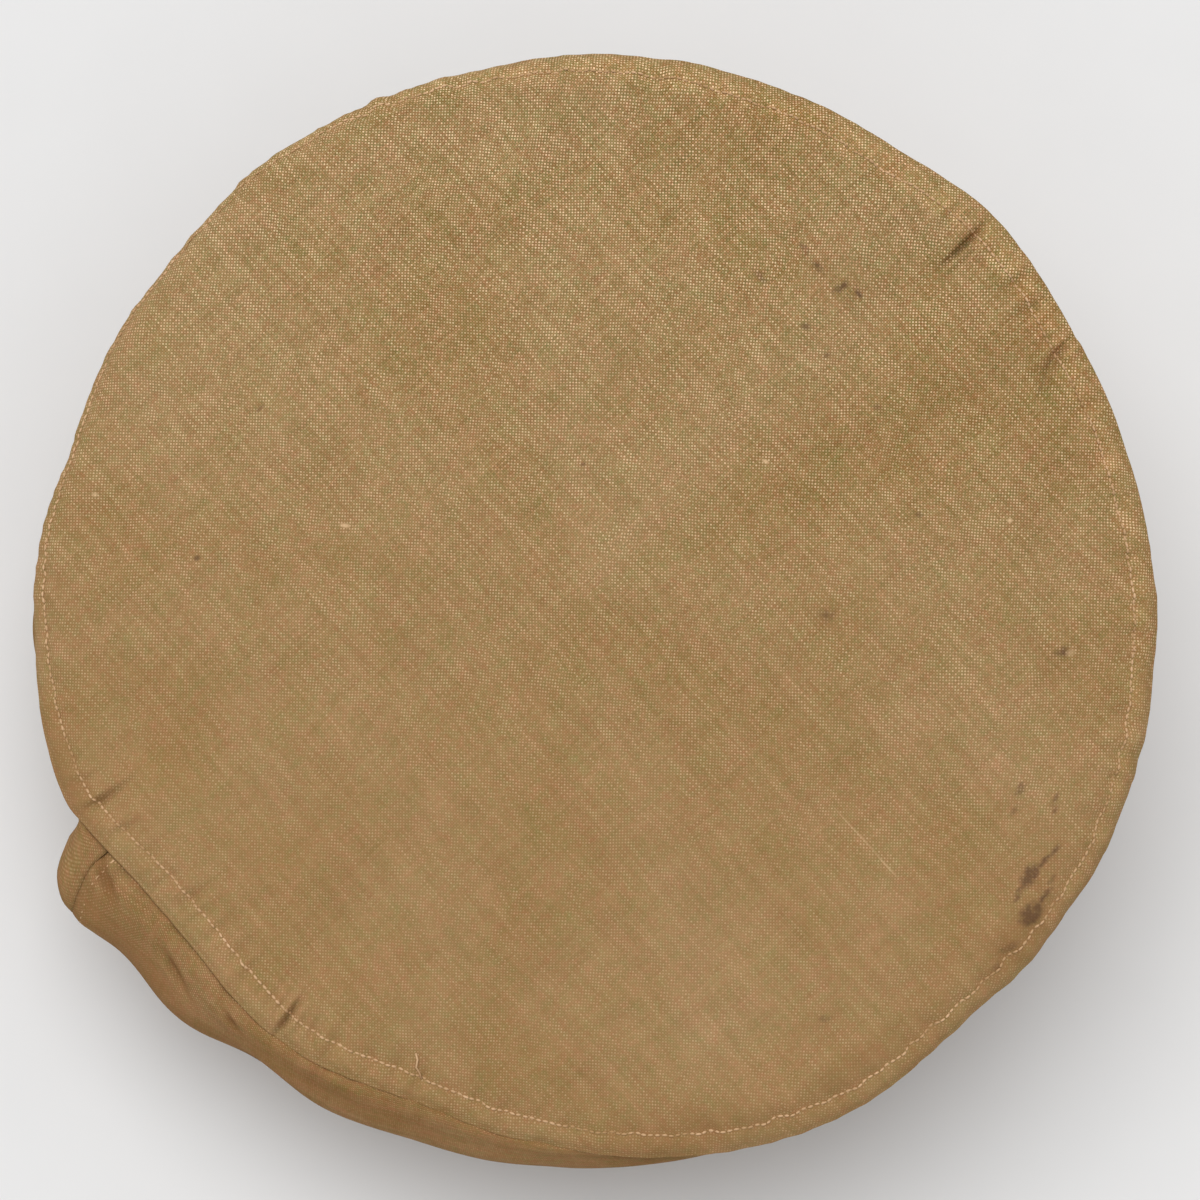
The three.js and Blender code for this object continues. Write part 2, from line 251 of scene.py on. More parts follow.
class Ripples:
    """Smooth unevenness of cloth: a sum of waves with seeded directions and phases."""

    def __init__(self, seed: int, count: int, shortest: float, longest: float) -> None:
        """Draws the waves.

        Args:
            seed: start of the random draws.
            count: how many waves are added up.
            shortest: shortest wavelength.
            longest: longest wavelength.
        """
        draw = np.random.default_rng(seed)
        size = shortest * (longest / shortest) ** draw.random(count)
        turn = draw.random(count) * 2 * math.pi
        self.across = np.cos(turn) * 2 * math.pi / size
        self.upwards = np.sin(turn) * 2 * math.pi / size
        self.phase = draw.random(count) * 2 * math.pi
        self.weight = (size / longest) ** 0.7 / math.sqrt(count)

    def at(self, u: Array, v: Array) -> Array:
        """Adds the waves up.

        Args:
            u: places on the flat cloth, to the right.
            v: places on the flat cloth, upwards.

        Returns:
            Heights of about -1 to 1.
        """
        total = np.zeros(np.broadcast(u, v).shape)
        for across, upwards, phase, weight in zip(
            self.across, self.upwards, self.phase, self.weight
        ):
            total = total + weight * np.sin(across * u + upwards * v + phase)
        return FULL_WAVES * total


class Puckers:
    """Short waves that run once round the cap, as sewing draws cloth up."""

    def __init__(self, seed: int, count: int, fewest: int, most: int) -> None:
        """Draws the waves.

        Args:
            seed: start of the random draws.
            count: how many waves are added up.
            fewest: fewest waves round the cap.
            most: most waves round the cap.
        """
        draw = np.random.default_rng(seed)
        self.turns = draw.integers(fewest, most, count)
        self.phase = draw.random(count) * 2 * math.pi
        self.scale = FULL_WAVES / math.sqrt(count)

    def at(self, azimuth: Array) -> Array:
        """Adds the waves up.

        Args:
            azimuth: where they are wanted.

        Returns:
            Heights of about -1 to 1.
        """
        a = np.radians(azimuth)
        total = np.zeros(np.shape(a))
        for turns, phase in zip(self.turns, self.phase):
            total = total + np.sin(turns * a + phase)
        return self.scale * total


# Threads aren't quite straight: they sway by half a millimetre over the cloth.
THREAD_SWAY = 0.5
SWAY_WAVES = (Ripples(71, 10, 16.0, 90.0), Ripples(72, 10, 16.0, 90.0))


@dataclass(frozen=True)
class CapShape:
    """The cap's driving sizes, and the surfaces that they give.

    Args:
        cloth: thickness of the crown's and the quarters' doubled cloth.
        gap: clearance between pieces that are sewn together.
        band_flare: how much farther out the band's upper rim is.
        roll_width: strip of the crown that rolls over at the seam.
        dent_margin: strip of the crown in which the dents die out.
        peak_half_angle: half the arc of the band that the peak is sewn to.
        peak_corner: share of the peak's reach that is left at its corners.
        peak_roundness: how full the peak's outline is.
        peak_touch: share of its reach from which its edge touches the floor.
        peak_crown: how far the peak's middle is arched up.
        squash: how far the cloth is pressed flat where the cap rests on it.
        band_lean: slope at which the quarters meet the band, in degrees.
        band_pull: how far that slope reaches.
        round_arm: fullness of the quarters' upper curve.
        waist_arm: fullness of their lower curve.
        photo_turn: turn of the crown's flat cloth against the cap, in degrees.
    """

    cloth: float = 1.4
    band_wall: float = 2.4
    peak_wall: float = 2.4
    gap: float = 0.35
    band_half_width: float = 84.0
    band_half_length: float = 100.0
    band_height: float = 40.0
    band_flare: float = 1.5
    crown_middle: float = 74.0
    roll_width: float = 15.0
    dent_margin: float = 16.0
    peak_half_angle: float = 60.0
    peak_reach: float = 34.0
    peak_corner: float = 0.08
    peak_roundness: float = 0.7
    peak_touch: float = 0.85
    peak_crown: float = 1.6
    rest_lean: float = 7.6
    squash: float = 0.5
    band_lean: float = 40.0
    band_pull: float = 14.0
    round_arm: float = 0.55
    waist_arm: float = 0.3
    slope_steps: int = 480
    photo_turn: float = 117.0

    def seam_slope(self, azimuth: Array) -> Array:
        """Finds the crown top's slope at its seam.

        Args:
            azimuth: where it is wanted.

        Returns:
            Slopes below level, in radians.
        """
        fall = self.crown_middle - CROWN_EDGE.at("height", azimuth)
        roll = np.radians(CROWN_EDGE.at("roll", azimuth))
        return 2 * fall / CROWN_EDGE.at("cloth", azimuth) + roll

    def crown(self, azimuth: Array, inside: Array) -> Array:
        """The crown top's middle surface.

        Args:
            azimuth: azimuths, one for each place.
            inside: length of cloth between each place and the seam.

        Returns:
            Points of the cap's frame.
        """
        azimuth, inside = np.broadcast_arrays(np.asarray(azimuth, float), inside)
        turns, back = np.unique(np.round(azimuth % 360, 6), return_inverse=True)
        back = back.reshape(azimuth.shape)
        cloth = CROWN_EDGE.at("cloth", turns)
        fall = self.crown_middle - CROWN_EDGE.at("height", turns)
        roll = np.radians(CROWN_EDGE.at("roll", turns))
        share = (np.arange(self.slope_steps) + 0.5) / self.slope_steps
        strip = 1 - cloth[:, None] * (1 - share) / self.roll_width
        slope = (2 * fall / cloth)[:, None] * share + roll[:, None] * blend(strip)
        step = cloth[:, None] / self.slope_steps
        none = np.zeros((len(turns), 1))
        out = np.concatenate([none, np.cumsum(np.cos(slope) * step, 1)], 1)
        down = np.concatenate([none, np.cumsum(np.sin(slope) * step, 1)], 1)
        reach = np.clip(1 - inside / cloth[back], 0, 1) * self.slope_steps
        low = np.minimum(reach.astype(int), self.slope_steps - 1)
        part = reach - low
        distance = out[back, low] * (1 - part) + out[back, low + 1] * part
        height = self.crown_middle - down[back, low] * (1 - part) - down[back, low + 1] * part
        return polar(azimuth, distance, height + self.dents(azimuth, distance, inside))

    def dents(self, azimuth: Array, distance: Array, inside: Array) -> Array:
        """Adds up the crown top's dents and swells.

        Args:
            azimuth: azimuth of each place.
            distance: its distance from the head's axis.
            inside: its distance inside the seam.

        Returns:
            How far the dents push each place up.
        """
        here = polar(azimuth, distance, 0.0)
        total = np.zeros(np.shape(distance))
        for dent in CROWN_DENTS:
            a = math.radians(dent.azimuth)
            x = here[..., 0] - dent.distance * math.cos(a)
            y = here[..., 1] - dent.distance * math.sin(a)
            along = (x * math.cos(a) + y * math.sin(a)) / dent.along
            across = (y * math.cos(a) - x * math.sin(a)) / dent.across
            total = total + dent.height * np.exp(-(along**2) - across**2)
        return total * blend(inside / self.dent_margin)

    def flat_crown(self, azimuth: Array, inside: Array) -> tuple[Array, Array]:
        """Finds places on the crown's flat cloth, turned as it is seen from above the back.

        Args:
            azimuth: azimuth of each place.
            inside: its distance inside the seam.

        Returns:
            Places to the right and upwards.
        """
        reach = np.maximum(CROWN_EDGE.at("cloth", azimuth) - inside, 0)
        a = np.radians(np.asarray(azimuth) + self.photo_turn)
        return reach * np.cos(a), reach * np.sin(a)

    def band_reach(self, azimuth: Array, height: Array) -> Array:
        """Finds the band's outside, which is an oval.

        Args:
            azimuth: azimuth of each place.
            height: its height over the band's lower rim.

        Returns:
            Distances from the head's axis.
        """
        a = np.radians(azimuth)
        flare = self.band_flare * height / self.band_height
        width, length = self.band_half_width + flare, self.band_half_length + flare
        return width * length / np.hypot(length * np.cos(a), width * np.sin(a))

    def quarter(self, azimuth: Array, share: Array) -> Array:
        """The quarters' middle surface.

        Args:
            azimuth: azimuths, one for each place.
            share: 0 under the crown's seam, 0.5 on the widest line and 1 at the band.

        Returns:
            Points of the cap's frame.
        """
        azimuth, share = np.broadcast_arrays(np.asarray(azimuth, float), share)
        seam = self.crown(azimuth, np.zeros_like(azimuth))
        edge = np.stack([np.hypot(seam[..., 0], seam[..., 1]), seam[..., 2]], -1)
        slope = self.seam_slope(azimuth)
        along = np.stack([np.cos(slope), -np.sin(slope)], -1)
        above = np.stack([np.sin(slope), np.cos(slope)], -1)
        out = QUARTER_BULGE.at("out", azimuth)[..., None]
        fall = QUARTER_BULGE.at("fall", azimuth)[..., None]
        right, up = np.array([1.0, 0.0]), np.array([0.0, 1.0])
        start = edge - above * (self.cloth + self.gap) - along * self.gap
        widest = edge + out * right - fall * up
        rim = self.band_reach(azimuth, self.band_height) - self.band_wall / 2
        end = np.stack([rim, np.full_like(rim, self.band_height + self.gap)], -1)
        lean = math.radians(self.band_lean)
        pull = self.band_pull * np.array([math.sin(lean), math.cos(lean)])
        drop = self.waist_arm * (widest - end)[..., 1:] * up
        arm = self.round_arm * np.concatenate([out * along[..., :1], fall * along[..., 1:]], -1)
        upper = (start, start + arm, widest + self.round_arm * fall * up, widest)
        lower = (widest, widest - drop, end + pull, end)
        first = share[..., None] < 0.5
        t = np.where(first, share[..., None] * 2, share[..., None] * 2 - 1)
        p = [np.where(first, a, b) for a, b in zip(upper, lower)]
        place = (
            (1 - t) ** 3 * p[0]
            + 3 * t * (1 - t) ** 2 * p[1]
            + 3 * t * t * (1 - t) * p[2]
            + t**3 * p[3]
        )
        return polar(azimuth, place[..., 0], place[..., 1])

    def peak(self, turn: Array, share: Array) -> Array:
        """The peak's middle surface.

        Args:
            turn: degrees from the cap's front.
            share: 0 at the band's rim and 1 at the free edge.

        Returns:
            Points of the cap's frame.
        """
        turn, share = np.broadcast_arrays(np.asarray(turn, float), share)
        inward = 1 - (turn / self.peak_half_angle) ** 2
        full = np.maximum(inward, 0) ** self.peak_roundness
        reach = self.peak_corner + (1 - self.peak_corner) * full
        azimuth = 270 + turn
        inner = polar(
            azimuth,
            self.band_reach(azimuth, 0.0) - self.band_wall / 2,
            -self.gap - self.peak_wall / 2,
        )
        outward = inner * np.array([self.band_half_width**-2.0, self.band_half_length**-2.0, 0])
        outer = inner + outward / length_of(outward) * (self.peak_reach * reach)[..., None]
        floor = -(self.band_half_length - outer[..., 1]) * math.tan(math.radians(self.rest_lean))
        lift = floor + self.peak_wall / 3 - inner[..., 2]
        outer[..., 2] += lift * blend(reach / self.peak_touch)
        point = inner + (outer - inner) * share[..., None]
        point[..., 2] += self.peak_crown * 4 * share * (1 - share) * reach
        return point

    def at_rest(self, points: Array) -> Array:
        """Sets points down on the floor, where those that would sink in are flattened.

        Args:
            points: points of the cap's frame.

        Returns:
            The points with the cap lying on the floor.
        """
        a = math.radians(self.rest_lean)
        x, y, z = points[..., 0], points[..., 1], points[..., 2]
        down = z * math.cos(a) - y * math.sin(a) + self.band_half_length * math.sin(a)
        down = np.maximum(down - self.squash, 0.0)
        return np.stack([x, y * math.cos(a) + z * math.sin(a), down], -1)

    def in_frame(self, points: Array) -> Array:
        """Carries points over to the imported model's frame.

        Args:
            points: points of the cap's frame.

        Returns:
            The points at rest, in metres.
        """
        low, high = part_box("band")
        rim = self.band_half_length * math.cos(math.radians(self.rest_lean))
        shift = np.array([(low.x + high.x) / 2, low.y + rim * MM, 0.0])
        return self.at_rest(points) * MM + shift


SHAPE = CapShape()


def square_to(surface: Surface, u: Array, v: Array, du: float, dv: float) -> Array:
    """Directions square to a surface, from its slopes over a small step each way.

    Args:
        surface: gives points for u and v.
        u: first coordinate of each place.
        v: second coordinate of each place.
        du: half the step along u.
        dv: half the step along v.

    Returns:
        Unit vectors, to the side of the cross product of the ways of u and v.
    """
    across = np.cross(
        surface(u + du, v) - surface(u - du, v), surface(u, v + dv) - surface(u, v - dv)
    )
    return across / np.maximum(length_of(across), 1e-12)


class MarkKind(Enum):
    """What a mark on the cloth is."""

    BLOT = "dark stain soaked into the threads"
    # These marks are brown handling dirt; those along the folds of a quarter are painted shade.
    SOIL_AND_SHADE = "brown handling dirt"
    # Painted shade: these marks darken the bottom of a fold, where shade falls.
    FOLD_SHADE = "dark dirt in the bottom of a fold"
    SPOT = "dark spot of a few threads"
    FLECK = "light fibre or worn spot"


# Marks of these kinds are broad enough to be held by the points of a mesh.
BROAD_KINDS = (MarkKind.SOIL_AND_SHADE, MarkKind.BLOT, MarkKind.FOLD_SHADE)


@dataclass(frozen=True)
class Mark:
    """A mark on flat cloth: place, half length, half width, direction in degrees, strength."""

    kind: MarkKind
    u: float
    v: float
    along: float
    across: float
    turn: float = 0.0
    strength: float = 1.0

    def cover(self, u: Array, v: Array) -> Array:
        """How strongly the mark covers flat places.

        Args:
            u: places on the flat cloth, to the right.
            v: places on the flat cloth, upwards.

        Returns:
            Shares from 0 outside the mark to its strength in its middle.
        """
        a = math.radians(self.turn)
        x = ((u - self.u) * math.cos(a) + (v - self.v) * math.sin(a)) / self.along
        y = ((v - self.v) * math.cos(a) - (u - self.u) * math.sin(a)) / self.across
        return self.strength * (1 - blend((np.hypot(x, y) - 0.3) / 1.1))


def marks_of(kind: MarkKind, *rows: tuple[float, ...]) -> tuple[Mark, ...]:
    """Marks of one kind, from rows of their other values."""
    return tuple(Mark(kind, *row) for row in rows)


CROWN_MARKS = (
    *marks_of(
        MarkKind.BLOT,
        (112.0, -61.6, 2.2, 0.7, 48, 0.8), (109.6, -63.8, 2.0, 0.8, 35, 0.8),
        (105.7, -67.6, 3.3, 2.0, 60, 0.9), (107.4, -66.0, 2.4, 0.8, 52, 0.7),
        (103.2, -72.0, 2.6, 0.8, 66, 0.7), (106.0, -76.6, 3.6, 2.4, 50, 1.0),
        (108.9, -73.4, 2.8, 0.9, 66, 0.8), (111.0, -69.2, 2.6, 0.7, 78, 0.6),
        (101.0, -84.6, 3.4, 1.0, 44, 0.4), (97.6, -89.6, 2.0, 1.0, 50, 0.4),
        (103.8, -46.8, 2.2, 0.8, 64, 0.8), (102.4, -52.0, 1.8, 0.8, 65, 0.5),
        (112.1, -50.6, 3.2, 0.8, 84, 0.6), (62.6, 73.8, 2.8, 0.9, 32, 0.8),
        (66.6, 72.4, 2.0, 0.8, -58, 0.65), (53.8, 83.6, 2.4, 0.9, -50, 0.45),
        (57.0, 79.2, 2.6, 1.1, -50, 0.5), (43.0, 77.0, 3.0, 1.0, -50, 0.45),
        (58.0, -5.3, 2.4, 1.9, 20, 0.5), (56.5, -101.2, 1.6, 0.9, 10, 0.55),
        (114.3, -14.3, 2.4, 1.2, 10, 0.6),
    ),
    # Painted shade along the bottoms of the crown's pinched folds.
    *marks_of(
        MarkKind.FOLD_SHADE,
        (90.4, 82.2, 5.2, 0.24, 42, 0.7), (113.6, 56.6, 3.4, 0.3, 48, 0.7),
        (110.4, 50.0, 4.6, 0.4, 68, 0.55), (-72.4, -99.4, 4.8, 0.28, 54, 0.6),
        (-115.4, -45.8, 5.0, 0.4, 30, 0.3),
    ),
    *marks_of(
        MarkKind.SOIL_AND_SHADE,
        (24.0, -128.0, 26.0, 6.0, 10, 0.42), (64.0, -113.0, 16.0, 5.0, 30, 0.35),
        (-125.0, -46.0, 20.0, 5.0, 110, 0.6), (103.0, -82.0, 13.0, 5.0, 58, 0.6),
        (108.0, -62.0, 16.0, 6.0, 64, 0.25), (62.0, 76.0, 11.0, 7.0, -30, 0.3),
        (58.0, -5.3, 5.0, 4.0, 0, 0.35), (112.0, -18.0, 7.0, 4.0, 50, 0.3),
        (56.0, -101.0, 7.0, 3.0, 20, 0.3),
    ),
    *marks_of(
        MarkKind.SPOT,
        (54.0, 64.8, 1.1, 0.9, 0, 0.7), (58.8, 57.6, 1.2, 0.7, 30, 0.5),
        (70.3, 44.4, 1.1, 0.8, 0, 0.4), (80.6, 18.6, 1.0, 0.8, 0, 0.5),
        (-93.5, 10.7, 0.9, 0.7, 20, 0.8), (0.4, 31.6, 0.7, 0.5, 0, 0.6),
        (-78.0, 47.6, 1.6, 0.6, 40, 0.5),
    ),
    *marks_of(
        MarkKind.FLECK,
        (-57.4, 18.5, 1.3, 0.5, -10, 0.9), (43.8, 32.0, 0.9, 0.5, -30, 0.9),
        (102.1, 17.4, 0.6, 0.6, 0, 0.9), (-119.3, 27.4, 0.8, 0.6, 0, 0.6),
        (65.0, -57.0, 9.0, 0.22, -48, 0.3), (71.5, -64.5, 4.0, 0.25, -49, 0.45),
        (116.0, -14.6, 1.2, 0.8, 30, 0.4),
    ),
)

# Marks of the quarter beside the back seam, on its own flat cloth: the first and the last are
# handling dirt, and the three narrow ones between follow its folds and are painted shade.
BACK_MARKS = marks_of(
    MarkKind.SOIL_AND_SHADE,
    (236.0, 24.0, 46.0, 11.0, 8, 0.6), (219.0, 8.0, 9.0, 2.0, 30, 0.8),
    (250.0, 14.0, 12.0, 2.0, 24, 0.7), (268.0, 11.0, 8.0, 1.8, 36, 0.6),
    (300.0, 16.0, 34.0, 7.0, 0, 0.4),
)


class Side(Enum):
    """Which face of a wall of cloth a point lies on."""

    OUTER = 1
    INNER = -1


@dataclass
class ClothMesh:
    """Points, faces and flat places of one piece of cloth, gathered for its mesh."""

    points: list[Array] = field(default_factory=list)
    flats: list[Array] = field(default_factory=list)
    seams: list[Array] = field(default_factory=list)
    faces: Faces = field(default_factory=list)
    wrap: float = 0.0
    marks: tuple[Mark, ...] = ()

    def add(self, points: Array, flat: Array, seam: Array) -> Array:
        """Adds points of the cap's frame.

        Args:
            points: the points, in any shape of array.
            flat: their places on the flat cloth.
            seam: their distance from the nearest sewn edge.

        Returns:
            The points' numbers, in the same shape.
        """
        start = sum(len(p) for p in self.points)
        self.points.append(points.reshape(-1, 3))
        self.flats.append(np.broadcast_to(flat, points.shape[:-1] + (2,)).reshape(-1, 2))
        self.seams.append(np.broadcast_to(seam, points.shape[:-1]).reshape(-1))
        return start + np.arange(self.points[-1].shape[0]).reshape(points.shape[:-1])

    def build(self, name: str) -> Piece:
        """Makes the object, with its flat cloth as a UV map, and its seam distance and marks.

        Args:
            name: the piece's name.

        Returns:
            The new object, at the origin.
        """
        points = SHAPE.in_frame(np.concatenate(self.points))
        flat = np.concatenate(self.flats)
        covers = {kind: np.zeros(len(flat)) for kind in BROAD_KINDS}
        for mark in self.marks:
            if mark.kind in covers:
                covers[mark.kind] = np.maximum(covers[mark.kind], mark.cover(*flat.T))
        flat = flat + THREAD_SWAY * np.stack([w.at(*flat.T) for w in SWAY_WAVES], -1)
        mesh = bpy.data.meshes.new(name)
        mesh.from_pydata(points.tolist(), [], self.faces)
        if volume_of(mesh) < 0:
            mesh.flip_normals()
        corners = np.zeros(len(mesh.loops), int)
        mesh.loops.foreach_get("vertex_index", corners)
        uv = flat[corners]
        if self.wrap:
            uv = unwrapped(mesh, uv, self.wrap)
        layer = mesh.uv_layers.new(name="flat_cloth", do_init=False)
        layer.uv.foreach_set("vector", (uv * MM).astype(np.float32).ravel())
        held = {"seam_distance": np.concatenate(self.seams)}
        held.update({kind.name.lower(): cover for kind, cover in covers.items()})
        for label, values in held.items():
            layer = mesh.attributes.new(label, "FLOAT", "POINT")
            layer.data.foreach_set("value", values.astype(np.float32))
        mesh.polygons.foreach_set("use_smooth", np.ones(len(mesh.polygons), bool))
        mesh.update()
        piece = bpy.data.objects.new(name, mesh)
        bpy.context.scene.collection.objects.link(piece)
        return piece


def volume_of(mesh: Mesh) -> float:
    """Finds the signed volume of a closed mesh.

    Args:
        mesh: the mesh.

    Returns:
        The volume, which is above 0 when the faces point outwards.
    """
    mesh.calc_loop_triangles()
    corners = np.zeros(len(mesh.loop_triangles) * 3, int)
    mesh.loop_triangles.foreach_get("vertices", corners)
    places = np.zeros(len(mesh.vertices) * 3)
    mesh.vertices.foreach_get("co", places)
    a, b, c = places.reshape(-1, 3)[corners.reshape(-1, 3)].transpose(1, 0, 2)
    return float(np.einsum("ij,ij->", a, np.cross(b, c)) / 6)


def unwrapped(mesh: Mesh, uv: Array, wrap: float) -> Array:
    """Flat places of faces that cross the join of a ring, moved to one side of the join.

    Args:
        mesh: the ring's mesh.
        uv: flat place of each corner.
        wrap: flat length of the whole ring.

    Returns:
        The flat places, with no face that spans the ring.
    """
    starts = np.zeros(len(mesh.polygons), int)
    mesh.polygons.foreach_get("loop_start", starts)
    low = np.minimum.reduceat(uv[:, 0], starts)
    high = np.maximum.reduceat(uv[:, 0], starts)
    counts = np.diff(np.append(starts, len(uv)))
    crossing = np.repeat(high - low > wrap / 2, counts)
    moved = uv.copy()
    moved[crossing & (uv[:, 0] < wrap / 2), 0] += wrap
    return moved


def rounded_rim(front: Array, back: Array, before: Array, steps: int) -> list[Array]:
    """Points that carry cloth over its edge in a half circle.

    Args:
        front: last points of the outer face.
        back: last points of the inner face.
        before: middle points just inside the edge.
        steps: how many steps the half circle is divided into.

    Returns:
        Rows of points from front to back, without the ends.
    """
    middle = (front + back) / 2
    half = (front - back) / 2
    outward = middle - before
    outward = outward - half * (outward * half).sum(-1, keepdims=True) / length_of(half) ** 2
    outward = outward / length_of(outward) * length_of(half)
    turns = [math.pi * k / steps for k in range(1, steps)]
    return [middle + half * math.cos(t) + outward * math.sin(t) for t in turns]


def over_rim(last: Array, before: Array, thickness: float, steps: int) -> list[Array]:
    """Flat places that carry the threads on over the half circle of an edge.

    Args:
        last: flat places of the last points before the edge.
        before: flat places of the points just inside them.
        thickness: thickness of the wall.
        steps: how many steps the half circle is divided into.

    Returns:
        Rows of flat places, out to the middle of the edge and back.
    """
    outward = last - before
    outward = outward / np.maximum(length_of(outward), 1e-9) * thickness * math.pi / 2
    return [last + outward * min(k, steps - k) / steps for k in range(1, steps)]


def linear(colour: str) -> tuple[float, float, float, float]:
    """Turns an sRGB hex value to a linear colour.

    Args:
        colour: the hex value, with its leading mark.

    Returns:
        Linear red, green and blue, and an alpha of 1.
    """
    parts = (int(colour[k : k + 2], 16) / 255 for k in (1, 3, 5))
    r, g, b = (p / 12.92 if p <= 0.04045 else ((p + 0.055) / 1.055) ** 2.4 for p in parts)
    return (r, g, b, 1.0)


def add_node(
    tree: Tree,
    kind: str,
    inputs: Sequence[Any] | dict[Any, Any] = (),
    output: int | str = 0,
    **settings: Any,
) -> Socket | None:
    """Adds a node with its settings and links.

    Args:
        tree: the material's node tree.
        kind: the node's type, without ShaderNode.
        inputs: values or sockets, in the node's order or by an input's name or number.
        output: name or number of the output that is wanted.
        settings: the node's own properties.

    Returns:
        The wanted output, or None for the node that ends the tree.
    """
    made = tree.nodes.new("ShaderNode" + kind)
    for key, value in settings.items():
        setattr(made, key, value)
    rows = inputs if isinstance(inputs, dict) else dict(enumerate(inputs))
    for key, value in rows.items():
        if isinstance(value, Socket):
            tree.links.new(value, made.inputs[key])
        else:
            made.inputs[key].default_value = value
    return made.outputs[output] if made.outputs else None


class Finish:
    """Base of the finishes, which starts and ends their materials."""

    name: str

    def start(self) -> Tree:
        """Makes an empty material.

        Returns:
            The material's node tree.
        """
        material = bpy.data.materials.new(self.name)
        material.use_nodes = True
        material.node_tree.nodes.clear()
        return material.node_tree

    def end(self, tree: Tree, surface: dict[str, Any]) -> Material:
        """Ends the material with its surface.

        Args:
            tree: the material's node tree.
            surface: the surface's values and sockets by their names.

        Returns:
            The finished material.
        """
        shader = add_node(tree, "BsdfPrincipled", surface)
        add_node(tree, "OutputMaterial", {"Surface": shader})
        return bpy.data.materials[self.name]


@dataclass(frozen=True)
class Patch:
    """Uneven fading of the cloth.

    Args:
        size: size of the patches.
        stretch: scale along and across the warp, of which 1 is the size itself.
        shift: how far the linear red, green and blue move between dark and light.
    """

    size: float
    stretch: tuple[float, float]
    shift: tuple[float, float, float]


# Sun and long use fade broad patches, the dye took unevenly in small ones, and streaks follow
# single threads of the warp and then of the weft.
PATCHES = (
    Patch(80.0, (1.0, 1.0), (0.08, 0.07, 0.05)),
    Patch(30.0, (1.0, 1.0), (0.05, 0.04, 0.03)),
    Patch(10.0, (1.0, 1.0), (0.06, -0.006, 0.012)),
    Patch(2.0, (1.0, 1.0), (0.075, -0.024, 0.006)),
    Patch(3.2, (0.12, 1.0), (0.07, 0.042, 0.024)),
    Patch(3.2, (1.0, 0.2), (0.05, 0.035, 0.022)),
)


@dataclass(frozen=True)
class Yarn:
    """One set of threads: the colour of its thin and of its thick, abraded stretches."""

    thin: str
    thick: str


